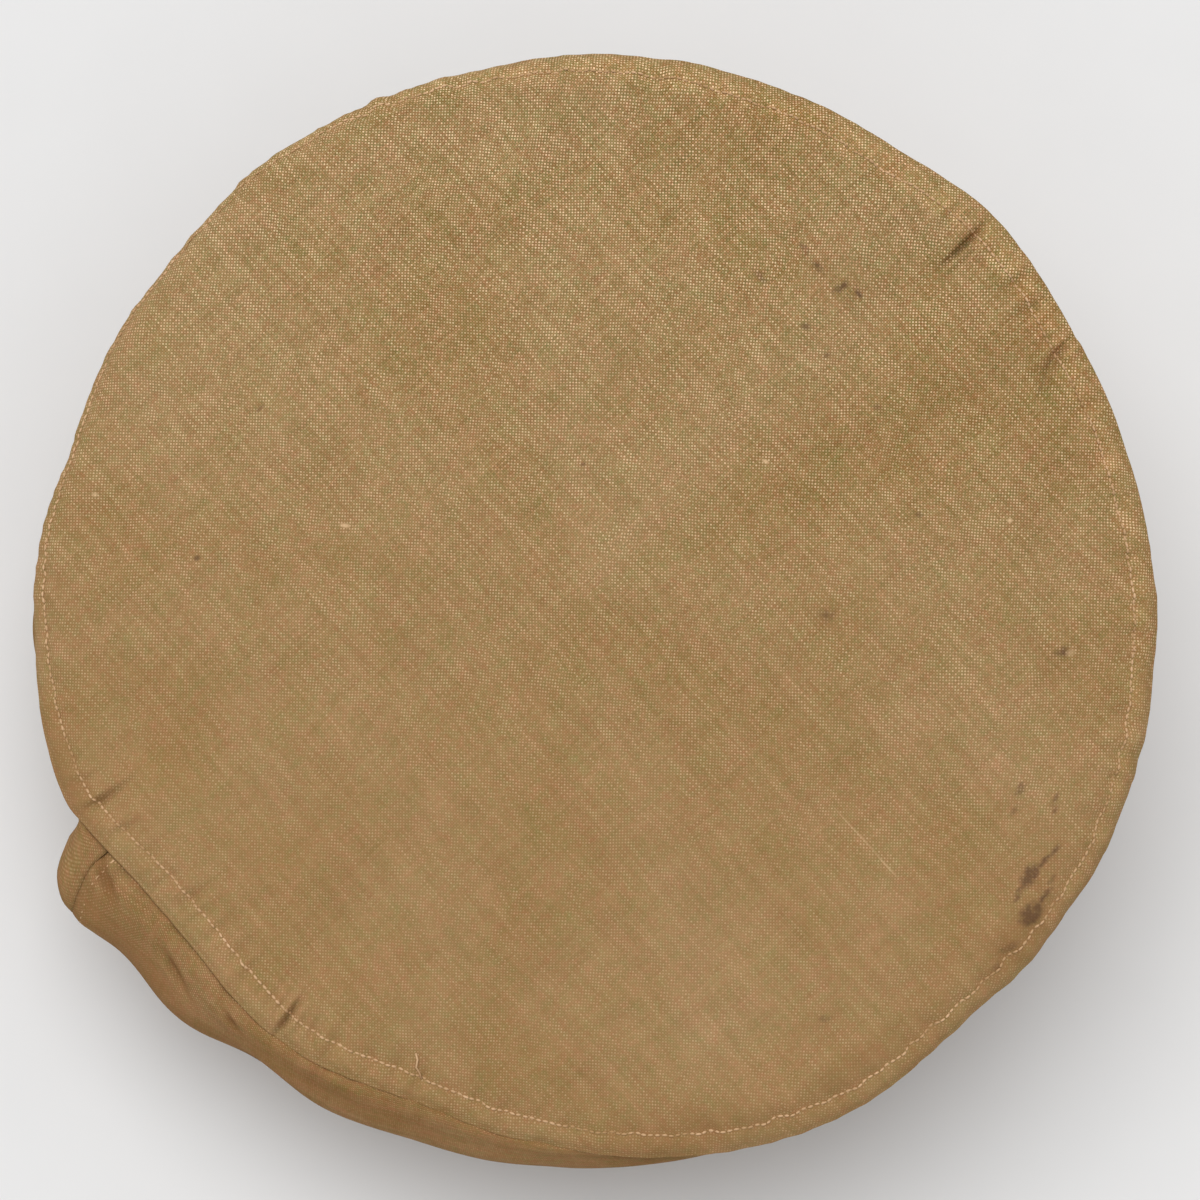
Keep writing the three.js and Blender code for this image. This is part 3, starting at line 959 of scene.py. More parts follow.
@dataclass(frozen=True)
class WovenCotton(Finish):
    """Plain-woven khaki cotton, yarn dyed and faded by sun.

    Pale peach warp threads lie over olive brown weft threads, so the cloth reads as fine light
    specks in rows, with long thin streaks where a thread is thicker than its neighbours. A
    thread is about two pixels wide in the render, so its own fibres aren't drawn.

    Args:
        pitch: spacing of the threads, about 50 to the inch.
        thickness_waves: how fast a thread's thickness changes along the warp and the weft.
        thread_step: how far apart neighbouring threads lie in the noise of their thickness.
        dye_shift: how far the linear colour moves from one crossing to the next.
        wear_and_shade: how matted the front and the back of the cloth are. The matted colour is
            darker than the cloth, so on the crown, matted most at the back, this is also a
            painted shade that darkens the back.
        wear_and_shade_span: places of the most and the least matting and painted shade, from the
            back to the front.
        ridge: distance inside the seam at which the ridge is lightest.
        ridge_highlight_and_wear: how much lighter the ridge is, as a painted highlight on the
            raised ridge together with its wear.
        lit_way: direction on the flat cloth in which the ridge's painted highlight grows.
        lit_span: how far it goes on growing that way.
        rub_size: size of the patches in which the ridge is lighter.
        soak_size: size of the threads' patches that take up a stain.
        spots: marks that are too small for the points of a mesh.
    """

    name: str
    warp: Yarn = Yarn("#a88659", "#f2cfa3")
    weft: Yarn = Yarn("#8a6e40", "#a98a57")
    # Painted shade: colour of the shade in the gaps between threads.
    gap_shade: str = "#66512b"
    # Colour of matted cloth, darker than the cloth itself, so it is also a painted shade.
    felt_and_shade: str = "#9f7d53"
    # Colour of stains, and also of the painted shade in the bottoms of folds.
    blot: str = "#5a4030"
    # Colour of handling dirt, and also of painted shade along the quarters' folds.
    soil_and_shade: str = "#845c36"
    fleck: str = "#ecc79c"
    pitch: float = 0.51
    thread_turn: float = 49.0
    thread_rise: float = 0.12
    thickness_waves: tuple[float, float] = (0.045, 0.05)
    thread_step: float = 7.31
    dye_shift: tuple[float, float, float] = (0.055, -0.024, -0.011)
    wear_and_shade: tuple[float, float] = (0.45, 0.45)
    wear_and_shade_span: tuple[float, float] = (-60.0, 110.0)
    ridge: float = 4.6
    ridge_highlight_and_wear: float = 0.3
    lit_way: tuple[float, float, float] = (0.6, 0.8, 0.0)
    lit_span: float = 110.0
    rub_size: float = 7.0
    soak_size: float = 1.7
    spots: tuple[Mark, ...] = ()

    def make(self) -> Material:
        """Makes the material.

        Returns:
            The cloth's material, which reads the piece's flat places and seam distance.
        """
        tree = self.start()
        place = add_node(tree, "UVMap", uv_map="flat_cloth")
        cloth = add_node(tree, "VectorMath", (place, (1 / MM, 1 / MM, 0.0)), operation="MULTIPLY")
        turn = (0.0, 0.0, math.radians(self.thread_turn))
        turned = add_node(tree, "Mapping", {"Vector": cloth, "Rotation": turn})
        colour, height = self.threads(tree, turned)
        colour = self.felted_and_shaded(tree, cloth, colour)
        colour = self.faded(tree, turned, colour)
        colour = self.lighter_ridge(tree, cloth, colour)
        colour = self.marked(tree, cloth, colour)
        inputs = {"Height": height, "Distance": self.thread_rise * MM, "Strength": 0.5}
        surface = {
            "Base Color": colour,
            "Roughness": 0.93,
            "Specular IOR Level": 0.08,
            "Normal": add_node(tree, "Bump", inputs),
        }
        return self.end(tree, surface)

    def threads(self, tree: Tree, turned: Socket) -> tuple[Socket, Socket]:
        """Draws the two sets of threads, of which the warp runs along x, with painted shade in
        the gaps between them.

        Args:
            tree: the material's node tree.
            turned: flat places in millimetres, turned in line with the threads.

        Returns:
            The threads' colour and height.
        """
        count = (1 / self.pitch, 1 / self.pitch, 0.0)
        thread = add_node(tree, "VectorMath", (turned, count), operation="MULTIPLY")
        cell = add_node(tree, "VectorMath", (thread,), operation="FLOOR")
        # One lift of a warp thread over a weft thread is a half wave each way.
        half_waves = (math.pi, math.pi, 0.0)
        angle = add_node(tree, "VectorMath", (thread, half_waves), operation="MULTIPLY")
        wave = add_node(tree, "VectorMath", (angle,), operation="SINE")
        ways = add_node(tree, "SeparateXYZ", (wave,)).node.outputs
        weave = add_node(tree, "Math", (ways[0], ways[1]), operation="MULTIPLY")
        raised = add_node(tree, "Math", (weave,), operation="ABSOLUTE")
        # A thread's thickness changes slowly along it, and each thread has its own.
        thickness = []
        for way, other in ((0, 1), (1, 0)):
            slow, step = [0.0, 0.0, 0.0], [0.0, 0.0, 0.0]
            slow[way], step[other] = self.thickness_waves[way], self.thread_step
            own = add_node(tree, "VectorMath", (cell, step), operation="MULTIPLY")
            at = add_node(tree, "VectorMath", (thread, slow, own), operation="MULTIPLY_ADD")
            inputs = {"Vector": at, "Scale": 1.0, "Detail": 1.5}
            thickness.append(add_node(tree, "TexNoise", inputs, noise_dimensions="2D"))
        speck = add_node(tree, "TexWhiteNoise", {"Vector": cell}, noise_dimensions="2D")
        # A slub is a thick stretch of warp, which shows as a row of lighter specks.
        slub = add_node(tree, "MapRange", (thickness[0], 0.48, 0.72, 0.0, 0.64))
        warp_tone = add_node(tree, "Math", (speck, 0.62, slub), operation="MULTIPLY_ADD")
        weft_tone = add_node(tree, "MapRange", (thickness[1], 0.3, 0.7))
        yarns = []
        for yarn, tone in ((self.weft, weft_tone), (self.warp, warp_tone)):
            inputs = {"Factor": tone, "A": linear(yarn.thin), "B": linear(yarn.thick)}
            yarns.append(add_node(tree, "Mix", inputs, "Result", data_type="RGBA"))
        on_top = add_node(tree, "MapRange", (weave, -0.12, 0.2))
        inputs = {"Factor": on_top, "A": yarns[0], "B": yarns[1]}
        body = add_node(tree, "Mix", inputs, "Result", data_type="RGBA")
        # The dye took a little redder or greener from one crossing to the next.
        dye = add_node(tree, "SeparateColor", (speck.node.outputs["Color"],), "Green")
        dye = add_node(tree, "Math", (dye, 0.5), operation="SUBTRACT")
        body = add_node(tree, "VectorMath", (dye, self.dye_shift, body), operation="MULTIPLY_ADD")
        # Painted shade: where neither thread lifts, the colour goes towards the dark gap colour.
        shaded_gaps = add_node(tree, "MapRange", (raised, 0.0, 0.5, 0.82, 0.0))
        inputs = {"Factor": shaded_gaps, "A": body, "B": linear(self.gap_shade)}
        return add_node(tree, "Mix", inputs, "Result", data_type="RGBA"), raised

    def felted_and_shaded(self, tree: Tree, cloth: Socket, colour: Socket) -> Socket:
        """Blurs the threads where the cloth is matted, most at the back, and darkens them there
        with painted shade, as the matted colour is darker.

        Args:
            tree: the material's node tree.
            cloth: flat places in millimetres.
            colour: the threads' colour.

        Returns:
            The colour with fainter threads.
        """
        ways = (cloth, (0.2, 1.0, 0.0))
        forward = add_node(tree, "VectorMath", ways, "Value", operation="DOT_PRODUCT")
        least, most = self.wear_and_shade
        # Painted shade: more matting mixes in the darker matted colour, so the crown darkens
        # towards the back.
        wear_and_shade_share = add_node(tree, "MapRange", (forward, *self.wear_and_shade_span, most, least))
        inputs = {"Factor": wear_and_shade_share, "A": colour, "B": linear(self.felt_and_shade)}
        return add_node(tree, "Mix", inputs, "Result", data_type="RGBA")

    def faded(self, tree: Tree, turned: Socket, colour: Socket) -> Socket:
        """Fades the cloth unevenly in patches.

        Args:
            tree: the material's node tree.
            turned: flat places in millimetres, turned in line with the threads.
            colour: the threads' colour.

        Returns:
            The faded colour.
        """
        for patch in PATCHES:
            scale = (*(stretch / patch.size for stretch in patch.stretch), 1.0)
            at = add_node(tree, "VectorMath", (turned, scale), operation="MULTIPLY")
            inputs = {"Vector": at, "Scale": 1.0, "Detail": 2.0, "Roughness": 0.55}
            cloud = add_node(tree, "TexNoise", inputs, noise_dimensions="2D")
            # The noise is about 0.5, so half the shift comes off first and the mean stays.
            dark = add_node(
                tree, "VectorMath", (colour, [-s / 2 for s in patch.shift]), operation="ADD"
            )
            colour = add_node(
                tree, "VectorMath", (cloud, patch.shift, dark), operation="MULTIPLY_ADD"
            )
        return colour

    def lighter_ridge(self, tree: Tree, cloth: Socket, colour: Socket) -> Socket:
        """Lightens the ridge beside the seam with a painted highlight and its wear, most towards
        the upper right of the flat cloth.

        Args:
            tree: the material's node tree.
            cloth: flat places in millimetres.
            colour: the cloth's colour.

        Returns:
            The colour with a lighter ridge.
        """
        inside = add_node(tree, "Attribute", output="Fac", attribute_name="seam_distance")
        off = add_node(tree, "Math", (inside, self.ridge), operation="SUBTRACT")
        away = add_node(tree, "Math", (off,), operation="ABSOLUTE")
        # Painted highlight: the raised ridge is lightened, together with its wear, most towards
        # the upper right of the flat cloth.
        edge = add_node(tree, "MapRange", (away, 0.8, self.ridge, self.ridge_highlight_and_wear, 0.0))
        ways = (cloth, self.lit_way)
        toward_lit_way = add_node(tree, "VectorMath", ways, "Value", operation="DOT_PRODUCT")
        share = add_node(tree, "MapRange", (toward_lit_way, 0.0, self.lit_span, 0.15, 1.0))
        edge = add_node(tree, "Math", (edge, share), operation="MULTIPLY")
        inputs = {"Vector": cloth, "Scale": 1 / self.rub_size, "Detail": 1.0}
        patchy = add_node(tree, "TexNoise", inputs, noise_dimensions="2D")
        gain = add_node(tree, "Math", (edge, patchy, 1.0), operation="MULTIPLY_ADD")
        return add_node(tree, "VectorMath", {0: colour, "Scale": gain}, operation="SCALE")

    def marked(self, tree: Tree, cloth: Socket, colour: Socket) -> Socket:
        """Adds the stains, the dirt and the flecks.

        Args:
            tree: the material's node tree.
            cloth: flat places in millimetres.
            colour: the cloth's colour.

        Returns:
            The marked colour.
        """
        masks = {
            kind: add_node(tree, "Attribute", output="Fac", attribute_name=kind.name.lower())
            for kind in BROAD_KINDS
        }
        # A stain soaks into some threads more than into others.
        inputs = {"Vector": cloth, "Scale": 1 / self.soak_size, "Detail": 2.0}
        uneven = add_node(tree, "TexNoise", inputs, noise_dimensions="2D")
        uneven = add_node(tree, "Math", (uneven, 2.2), operation="MULTIPLY")
        soaked = add_node(tree, "Math", (masks[MarkKind.BLOT], uneven), operation="MULTIPLY")
        masks[MarkKind.BLOT] = add_node(tree, "MapRange", (soaked, 0.12, 0.85))
        for mark in self.spots:
            inputs = {
                "Vector": cloth,
                "Location": (mark.u, mark.v, 0.0),
                "Rotation": (0.0, 0.0, math.radians(mark.turn)),
                "Scale": (mark.along, mark.across, 1.0),
            }
            inside = add_node(tree, "Mapping", inputs, vector_type="TEXTURE")
            reach = add_node(tree, "VectorMath", (inside,), "Value", operation="LENGTH")
            spot = add_node(tree, "MapRange", (reach, 0.4, 1.3, mark.strength, 0.0))
            if mark.kind in masks:
                spot = add_node(tree, "Math", (masks[mark.kind], spot), operation="MAXIMUM")
            masks[mark.kind] = spot
        layers = (
            # This layer is handling dirt, and painted shade where it follows the quarters' folds.
            (MarkKind.SOIL_AND_SHADE, self.soil_and_shade, 0.6),
            # Painted shade: this layer darkens the bottoms of folds in the stain colour.
            (MarkKind.FOLD_SHADE, self.blot, 0.6),
            (MarkKind.BLOT, self.blot, 0.72),
            (MarkKind.SPOT, self.blot, 0.8),
            (MarkKind.FLECK, self.fleck, 0.7),
        )
        for kind, paint, most in layers:
            if kind in masks:
                share = add_node(tree, "Math", (masks[kind], most), operation="MULTIPLY")
                inputs = {"Factor": share, "A": colour, "B": linear(paint)}
                colour = add_node(tree, "Mix", inputs, "Result", data_type="RGBA")
        return colour


@dataclass(frozen=True)
class SewingThread(Finish):
    """Cotton sewing thread, unbleached and a little glazed, so paler than the cloth.

    Args:
        twist: size of its twist, in which the wave texture repeats about three times.
    """

    name: str = "peach_cotton_sewing_thread"
    clean: str = "#dab48c"
    soiled: str = "#b28d62"
    soil_size: float = 9.0
    twist: float = 1.2
    twist_rise: float = 0.05

    def make(self) -> Material:
        """Makes the thread's material, soiled in patches along the row.

        Returns:
            The thread's material.
        """
        tree = self.start()
        place = add_node(tree, "TexCoord", output="Object")
        inputs = {"Vector": place, "Scale": 1 / (self.soil_size * MM), "Detail": 3.0}
        cloud = add_node(tree, "TexNoise", inputs)
        share = add_node(tree, "MapRange", (cloud, 0.35, 0.65))
        inputs = {"Factor": share, "A": linear(self.soiled), "B": linear(self.clean)}
        colour = add_node(tree, "Mix", inputs, "Result", data_type="RGBA")
        inputs = {"Vector": place, "Scale": 1 / (self.twist * MM), "Distortion": 2.0}
        twist = add_node(tree, "TexWave", inputs, 1)
        inputs = {"Height": twist, "Distance": self.twist_rise * MM, "Strength": 0.4}
        surface = {
            "Base Color": colour,
            "Roughness": 0.75,
            "Specular IOR Level": 0.3,
            "Normal": add_node(tree, "Bump", inputs),
        }
        return self.end(tree, surface)


@dataclass(frozen=True)
class PaintedFloor(Finish):
    """Matt white painted board, with the faint mottle of a roller."""

    name: str = "matt_white_painted_board"
    light: str = "#e9e9e9"
    dark: str = "#e6e6e6"
    mottle: float = 25.0

    def make(self) -> Material:
        """Makes the floor's material.

        Returns:
            The board's material.
        """
        tree = self.start()
        place = add_node(tree, "TexCoord", output="Object")
        inputs = {"Vector": place, "Scale": 1 / (self.mottle * MM), "Detail": 3.0}
        cloud = add_node(tree, "TexNoise", inputs)
        inputs = {"Factor": cloud, "A": linear(self.dark), "B": linear(self.light)}
        colour = add_node(tree, "Mix", inputs, "Result", data_type="RGBA")
        surface = {"Base Color": colour, "Roughness": 0.9, "Specular IOR Level": 0.1}
        return self.end(tree, surface)


@dataclass
class Studio:
    """The camera above the cap's back, the floor and the soft light.

    Args:
        tilt: how far the camera leans from straight above.
        toward: azimuth that it leans towards.
        right: azimuth of the picture's right.
        left_of_middle: how many pixels the target is left of the picture's middle.
        clip: the camera's nearest and farthest distance, in metres.
        key_from: how far the soft light stands to the right and to the top.
    """

    target: tuple[float, float, float] = (0.0, 0.0, 66.0)
    distance: float = 1150.0
    tilt: float = 9.0
    toward: float = 125.0
    right: float = -117.0
    pixels_per_mm: float = 4.15
    image_width: float = 1200.0
    left_of_middle: float = 15.0
    sensor: float = 36.0
    clip: tuple[float, float] = (0.05, 20.0)
    floor_size: float = 16000.0
    floor_drop: float = 0.3
    surround: float = 0.58
    key: float = 1.6
    key_spread: float = 50.0
    key_from: tuple[float, float] = (-0.14, 0.5)

    def basis(self) -> tuple[Vector, Vector, Vector]:
        """Finds the camera's directions.

        Returns:
            Its right, up and backward directions.
        """
        tilt, toward, right = (math.radians(a) for a in (self.tilt, self.toward, self.right))
        lean = math.sin(tilt)
        backward = Vector((lean * math.cos(toward), lean * math.sin(toward), math.cos(tilt)))
        across = Vector((math.cos(right), math.sin(right), 0.0))
        across = (across - backward * across.dot(backward)).normalized()
        return across, backward.cross(across), backward

    def set_camera(self) -> None:
        """Makes the camera and sets it as the scene's."""
        across, up, backward = self.basis()
        middle = Vector(SHAPE.in_frame(np.array([self.target]))[0])
        middle += across * self.left_of_middle / self.pixels_per_mm * MM
        camera = bpy.data.cameras.new("camera")
        camera.sensor_width = self.sensor
        camera.lens = self.sensor * self.pixels_per_mm * self.distance / self.image_width
        camera.clip_start, camera.clip_end = self.clip
        placed = bpy.data.objects.new("camera", camera)
        turn = Matrix((across, up, backward)).transposed().to_4x4()
        placed.matrix_world = Matrix.Translation(middle + backward * self.distance * MM) @ turn
        bpy.context.scene.collection.objects.link(placed)
        bpy.context.scene.camera = placed

    def lay_floor(self) -> None:
        """Adds the floor just under the cap."""
        bpy.ops.object.select_all(action="DESELECT")
        under = (0, 0, -self.floor_drop * MM)
        bpy.ops.mesh.primitive_plane_add(size=self.floor_size * MM, location=under)
        floor = bpy.context.object
        floor.name = "floor"
        bpy.ops.object.transform_apply(location=True, rotation=True, scale=True)
        floor.data.materials.append(PaintedFloor().make())

    def light(self) -> None:
        """Adds an even pale surround and one wide soft light."""
        scene = bpy.context.scene
        scene.view_settings.view_transform = "Standard"
        world = bpy.data.worlds.new("pale_surround")
        world.use_nodes = True
        back = world.node_tree.nodes["Background"]
        back.inputs["Color"].default_value = (1.0, 1.0, 1.0, 1.0)
        back.inputs["Strength"].default_value = self.surround
        scene.world = world
        across, up, backward = self.basis()
        lamp = bpy.data.lights.new("soft_key", "SUN")
        lamp.energy = self.key
        lamp.angle = math.radians(self.key_spread)
        placed = bpy.data.objects.new("soft_key", lamp)
        from_where = (across * self.key_from[0] + up * self.key_from[1] + backward).normalized()
        placed.matrix_world = from_where.to_track_quat("Z", "Y").to_matrix().to_4x4()
        scene.collection.objects.link(placed)


@dataclass
class StitchRow:
    """A row of machine stitches, each one modelled stitch copied to its own place.

    Args:
        pitch: length of a stitch with its gap.
        dip: how far its ends are drawn down.
        turn: how far a stitch is out of line, as a spread.
        uneven: how uneven the stitches' sizes are, as a spread.
    """

    name: str
    pitch: float = 1.7
    half_length: float = 0.68
    half_width: float = 0.33
    half_height: float = 0.28
    dip: float = 0.16
    turn: float = 0.05
    uneven: float = 0.06
    seed: int = 1

    def model_stitch(self) -> tuple[Array, Faces]:
        """Models one stitch: a grain of thread with its ends drawn down into the cloth.

        Returns:
            The stitch's points, with its length along X, and its faces.
        """
        bpy.ops.object.select_all(action="DESELECT")
        bpy.ops.mesh.primitive_uv_sphere_add(
            segments=6, ring_count=6, radius=1.0, location=(0, 0, 0), rotation=(0, math.pi / 2, 0)
        )
        stitch = bpy.context.object
        bpy.ops.object.transform_apply(location=True, rotation=True, scale=True)
        bpy.ops.object.mode_set(mode="EDIT")
        bpy.ops.mesh.select_all(action="SELECT")
        bpy.ops.transform.resize(value=(self.half_length, self.half_width, self.half_height))
        bpy.ops.object.mode_set(mode="OBJECT")
        for vertex in stitch.data.vertices:
            vertex.select = abs(vertex.co.x) > 0.8 * self.half_length
        bpy.ops.object.mode_set(mode="EDIT")
        bpy.ops.transform.translate(value=(0, 0, -self.dip))
        bpy.ops.object.mode_set(mode="OBJECT")
        points = np.array([vertex.co for vertex in stitch.data.vertices])
        faces = [tuple(face.vertices) for face in stitch.data.polygons]
        bpy.data.objects.remove(stitch, do_unlink=True)
        # The operator numbers its points anew in each run, so they are put in one order.
        order = np.lexsort(np.round(points, 4).T)
        number = np.argsort(order).tolist()
        faces = [tuple(number[v] for v in face) for face in faces]
        starts = [face.index(min(face)) for face in faces]
        return points[order], sorted(face[k:] + face[:k] for face, k in zip(faces, starts))

    def sew(self, lines: Sequence[tuple[Array, Array]], tails: Sequence[Array] = ()) -> Piece:
        """Copies the stitch along lines on the cloth.

        Args:
            lines: points close together along each line, and the cloth's normals there.
            tails: points of loose ends of thread that lie on the cloth.

        Returns:
            The row as one object, ready to ride.
        """
        grain, grain_faces = self.model_stitch()
        draw = np.random.default_rng(self.seed)
        points, faces = [], []
        for line, normals in lines:
            step = np.linalg.norm(np.diff(line, axis=0), axis=1)
            run = np.concatenate([[0.0], np.cumsum(step)])
            count = int(run[-1] / self.pitch)
            for k in range(count):
                at = (k + 0.5) * run[-1] / count
                ends = [
                    np.array([np.interp(at + d, run, line[:, c]) for c in range(3)])
                    for d in (-self.pitch / 2, 0.0, self.pitch / 2)
                ]
                up = np.array([np.interp(at, run, normals[:, c]) for c in range(3)])
                along = ends[2] - ends[0]
                side = np.cross(up, along)
                along += side * draw.normal(0, self.turn)
                along /= np.linalg.norm(along)
                side = np.cross(up, along)
                side /= np.linalg.norm(side)
                up = np.cross(along, side)
                size = draw.normal(1, self.uneven, 3)
                turned = (grain * size) @ np.array([along, side, up])
                start = len(grain) * len(points)
                points.append(turned + ends[1])
                faces += [tuple(v + start for v in face) for face in grain_faces]
        total = sum(len(p) for p in points)
        for tail in tails:
            tube, tube_faces = thread_tail(tail, 0.8 * self.half_width)
            points.append(tube)
            faces += [tuple(v + total for v in face) for face in tube_faces]
            total += len(tube)
        mesh = bpy.data.meshes.new(self.name)
        mesh.from_pydata(SHAPE.in_frame(np.concatenate(points)).tolist(), [], faces)
        mesh.polygons.foreach_set("use_smooth", np.ones(len(mesh.polygons), bool))
        if volume_of(mesh) < 0:
            mesh.flip_normals()
        row = bpy.data.objects.new(self.name, mesh)
        bpy.context.scene.collection.objects.link(row)
        return row


def thread_tail(path: Array, radius: float, sides: int = 6) -> tuple[Array, Faces]:
    """A loose end of thread as a thin closed tube.

    Args:
        path: points along the thread.
        radius: the thread's radius.
        sides: how many sides the tube has.

    Returns:
        The tube's points and faces.
    """
    along = np.gradient(path, axis=0)
    side = np.cross(along, [0.0, 0.0, 1.0])
    side /= length_of(side)
    up = np.cross(side, along)
    up /= length_of(up)
    turns = 2 * math.pi * np.arange(sides) / sides
    ring = side[:, None] * np.cos(turns)[:, None] + up[:, None] * np.sin(turns)[:, None]
    points = (path[:, None] + radius * ring).reshape(-1, 3)
    faces = [
        (a + k, a + (k + 1) % sides, a + sides + (k + 1) % sides, a + sides + k)
        for a in range(0, sides * (len(path) - 1), sides)
        for k in range(sides)
    ]
    last = sides * (len(path) - 1)
    faces += [tuple(reversed(range(sides))), tuple(last + k for k in range(sides))]
    return points, faces


def finish_piece(piece: Piece, slot: str, material: Material, *nodes: str) -> Piece:
    """Dresses a piece, and has it ride on the cap and stand for its nodes.

    Args:
        piece: the finished object.
        slot: the record's material slot; not used.
        material: its material.
        nodes: the CAD nodes that it stands for.

    Returns:
        The same object.
    """
    piece.data.materials.clear()
    piece.data.materials.append(material)
    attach(piece, ROOT)
    if nodes:
        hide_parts(*nodes)
    log.info("%s: %d faces, from %s", piece.name, len(piece.data.polygons), nodes or "stitches")
    return piece


class SewnPiece:
    """Base of the cap's pieces, each a sheet of cloth that stands for one solid.

    Args:
        node: name of the solid.
        slot: the record's material slot.
        held: how the cloth is held; not used.
        flat_size: length and width of the flat cloth; not used.
        flat_area: its area in square metres, where it isn't a rectangle; not used.
    """

    node: str
    slot: str
    held: str
    flat_size: tuple[float, float]
    flat_area: float | None = None

    def build(self) -> Piece:
        """Builds the cloth."""
        raise NotImplementedError

    def stitching(self) -> Piece:
        """Sews the rows of stitches."""
        raise NotImplementedError

    def make(self, cloth: Material, thread: Material) -> None:
        """Builds and dresses the piece and its stitches.

        Args:
            cloth: the cloth's finish.
            thread: the stitches' finish.
        """
        sheet = finish_piece(self.build(), self.slot, cloth, self.node)
        row = finish_piece(self.stitching(), self.slot, thread)


@dataclass
class CrownTop(SewnPiece):
    """The flat round top: one circle of cloth, turned in and topstitched at its seam.

    Args:
        outer_rings: distances between rings, from the seam inwards.
        strip: width of the strip that has those rings.
        inner_reach: about how far the inner rings reach from the middle.
        widest_step: widest distance between points of an inner ring, in millimetres.
        pinches: azimuths of pinched folds, where points lie closer together.
        pinch_span: how far round each pinch they do, in degrees.
        pinch_density: how much closer they lie.
        rim_drop: how far the edge is drawn down by its seam.
        steep: azimuth at which the seam is pulled down most, and how far round it is.
        steep_drop: how far it is pulled down there.
        pucker_width: how far puckers reach from the stitches.
        sway: height of the broad waves of limp cloth.
        back_wave: height of the small waves.
        calm_middle: share of the waves that is left in the crown's middle.
        wave_reach: distance from the middle at which the waves are full.
    """

    node: str = "crown_top"
    slot: str = "crown_cloth"
    held: str = "stretched"
    flat_size: tuple[float, float] = (286.0, 286.0)
    flat_area: float = math.pi / 4 * 0.286**2
    outer_rings: tuple[float, ...] = (0.35, 0.45, 0.5, 0.55, 0.6, 0.7, 0.8, 0.9, 1.0)
    strip: float = 46.0
    inner_steps: int = 58
    inner_reach: float = 92.0
    widest_step: float = 0.36
    sectors: int = 768
    pinches: tuple[float, ...] = (285.3, 270.0, 85.0, 97.0, 117.0)
    pinch_span: float = 3.5
    pinch_density: float = 4.0
    rim_steps: int = 6
    seam_ridge: float = 0.45
    rim_drop: float = 0.8
    rim_width: float = 1.3
    steep: tuple[float, float] = (27.0, 26.0)
    steep_drop: float = 1.3
    steep_width: float = 14.0
    groove: float = 0.45
    groove_width: float = 1.0
    pucker: float = 0.4
    fine_pucker: float = 0.16
    pucker_width: float = 4.5
    sway: float = 0.75
    back_wave: float = 0.28
    calm_middle: float = 0.35
    wave_reach: float = 125.0
    loose_end: tuple[tuple[float, float], ...] = (
        (-41.6, -108.6), (-41.2, -110.2), (-41.6, -112.0), (-41.0, -113.6), (-40.6, -115.2),
    )
    puckers: Puckers = field(default_factory=lambda: Puckers(11, 26, 52, 150))
    fine_puckers: Puckers = field(default_factory=lambda: Puckers(12, 20, 150, 260))
    ripples: Ripples = field(default_factory=lambda: Ripples(5, 22, 26.0, 120.0))
    creasing: Ripples = field(default_factory=lambda: Ripples(6, 30, 9.0, 30.0))

    def stitch_line(self, azimuth: Array) -> Array:
        """Finds the line of the topstitching, which wanders a little.

        Args:
            azimuth: where it is wanted.

        Returns:
            Distances inside the seam.
        """
        wander = 0.15 * np.sin(np.radians(azimuth) * 23 + 0.7)
        wander = wander + 0.08 * np.sin(np.radians(azimuth) * 41 + 2.1)
        return TOPSTITCH_LINE.at("inside", azimuth) + wander

    def relief(self, azimuth: Array, inside: Array) -> Array:
        """Fine folds of the crown: the seam's ridge, puckers, waves and pinched creases.

        Args:
            azimuth: azimuth of each place.
            inside: distance of each place inside the seam.

        Returns:
            Heights along the cloth's normal.
        """
        u, v = SHAPE.flat_crown(azimuth, inside)
        line = self.stitch_line(azimuth)
        height = self.seam_ridge * (1 - blend((inside - line + 1.0) / 2.0))
        height = height - self.groove * np.exp(-(((inside - line) / self.groove_width) ** 2))
        height = height - self.rim_drop * np.exp(-((inside / self.rim_width) ** 2))
        steepest, span = self.steep
        steep = np.exp(-((((azimuth - steepest + 180) % 360 - 180) / span) ** 2))
        height = height - self.steep_drop * steep * (1 - blend(inside / self.steep_width))
        near = np.exp(-(((inside - line) / self.pucker_width) ** 2)) * (1 - 0.8 * steep)
        fine = self.fine_pucker * self.fine_puckers.at(azimuth)
        height = height + near * (self.pucker * self.puckers.at(azimuth) + fine)
        outer = blend(np.hypot(u, v) / self.wave_reach)
        limp = self.calm_middle + (1 - self.calm_middle) * outer
        height = height + self.sway * self.ripples.at(u, v) * limp
        height = height + self.back_wave * self.creasing.at(u, v) * limp
        for crease in CROWN_CREASES:
            height = height + crease.relief(u, v)
        return height

    def face(self, azimuth: Array, inside: Array, side: Side) -> Array:
        """Finds points on a face of the crown.

        Args:
            azimuth: azimuth of each place.
            inside: its distance inside the seam.
            side: the outer or the inner face.

        Returns:
            Points of the cap's frame.
        """
        square = square_to(SHAPE.crown, azimuth, inside + 0.3, 0.5, 0.3)
        height = self.relief(azimuth, inside) + side.value * SHAPE.cloth / 2
        return SHAPE.crown(azimuth, inside) + square * height[..., None]

    def turns(self, count: int) -> Array:
        """Spreads a ring's points, closer together at the pinches.

        Args:
            count: how many points the ring has.

        Returns:
            Their azimuths.
        """
        grid = np.linspace(0, 360, 3601)
        away = np.abs((grid[:, None] - np.array(self.pinches) + 180) % 360 - 180)
        dense = 1 + self.pinch_density * np.exp(-((away / self.pinch_span) ** 2)).sum(1)
        run = np.concatenate([[0.0], np.cumsum((dense[1:] + dense[:-1]) / 2)])
        return np.interp(np.arange(count) / count, run / run[-1], grid)

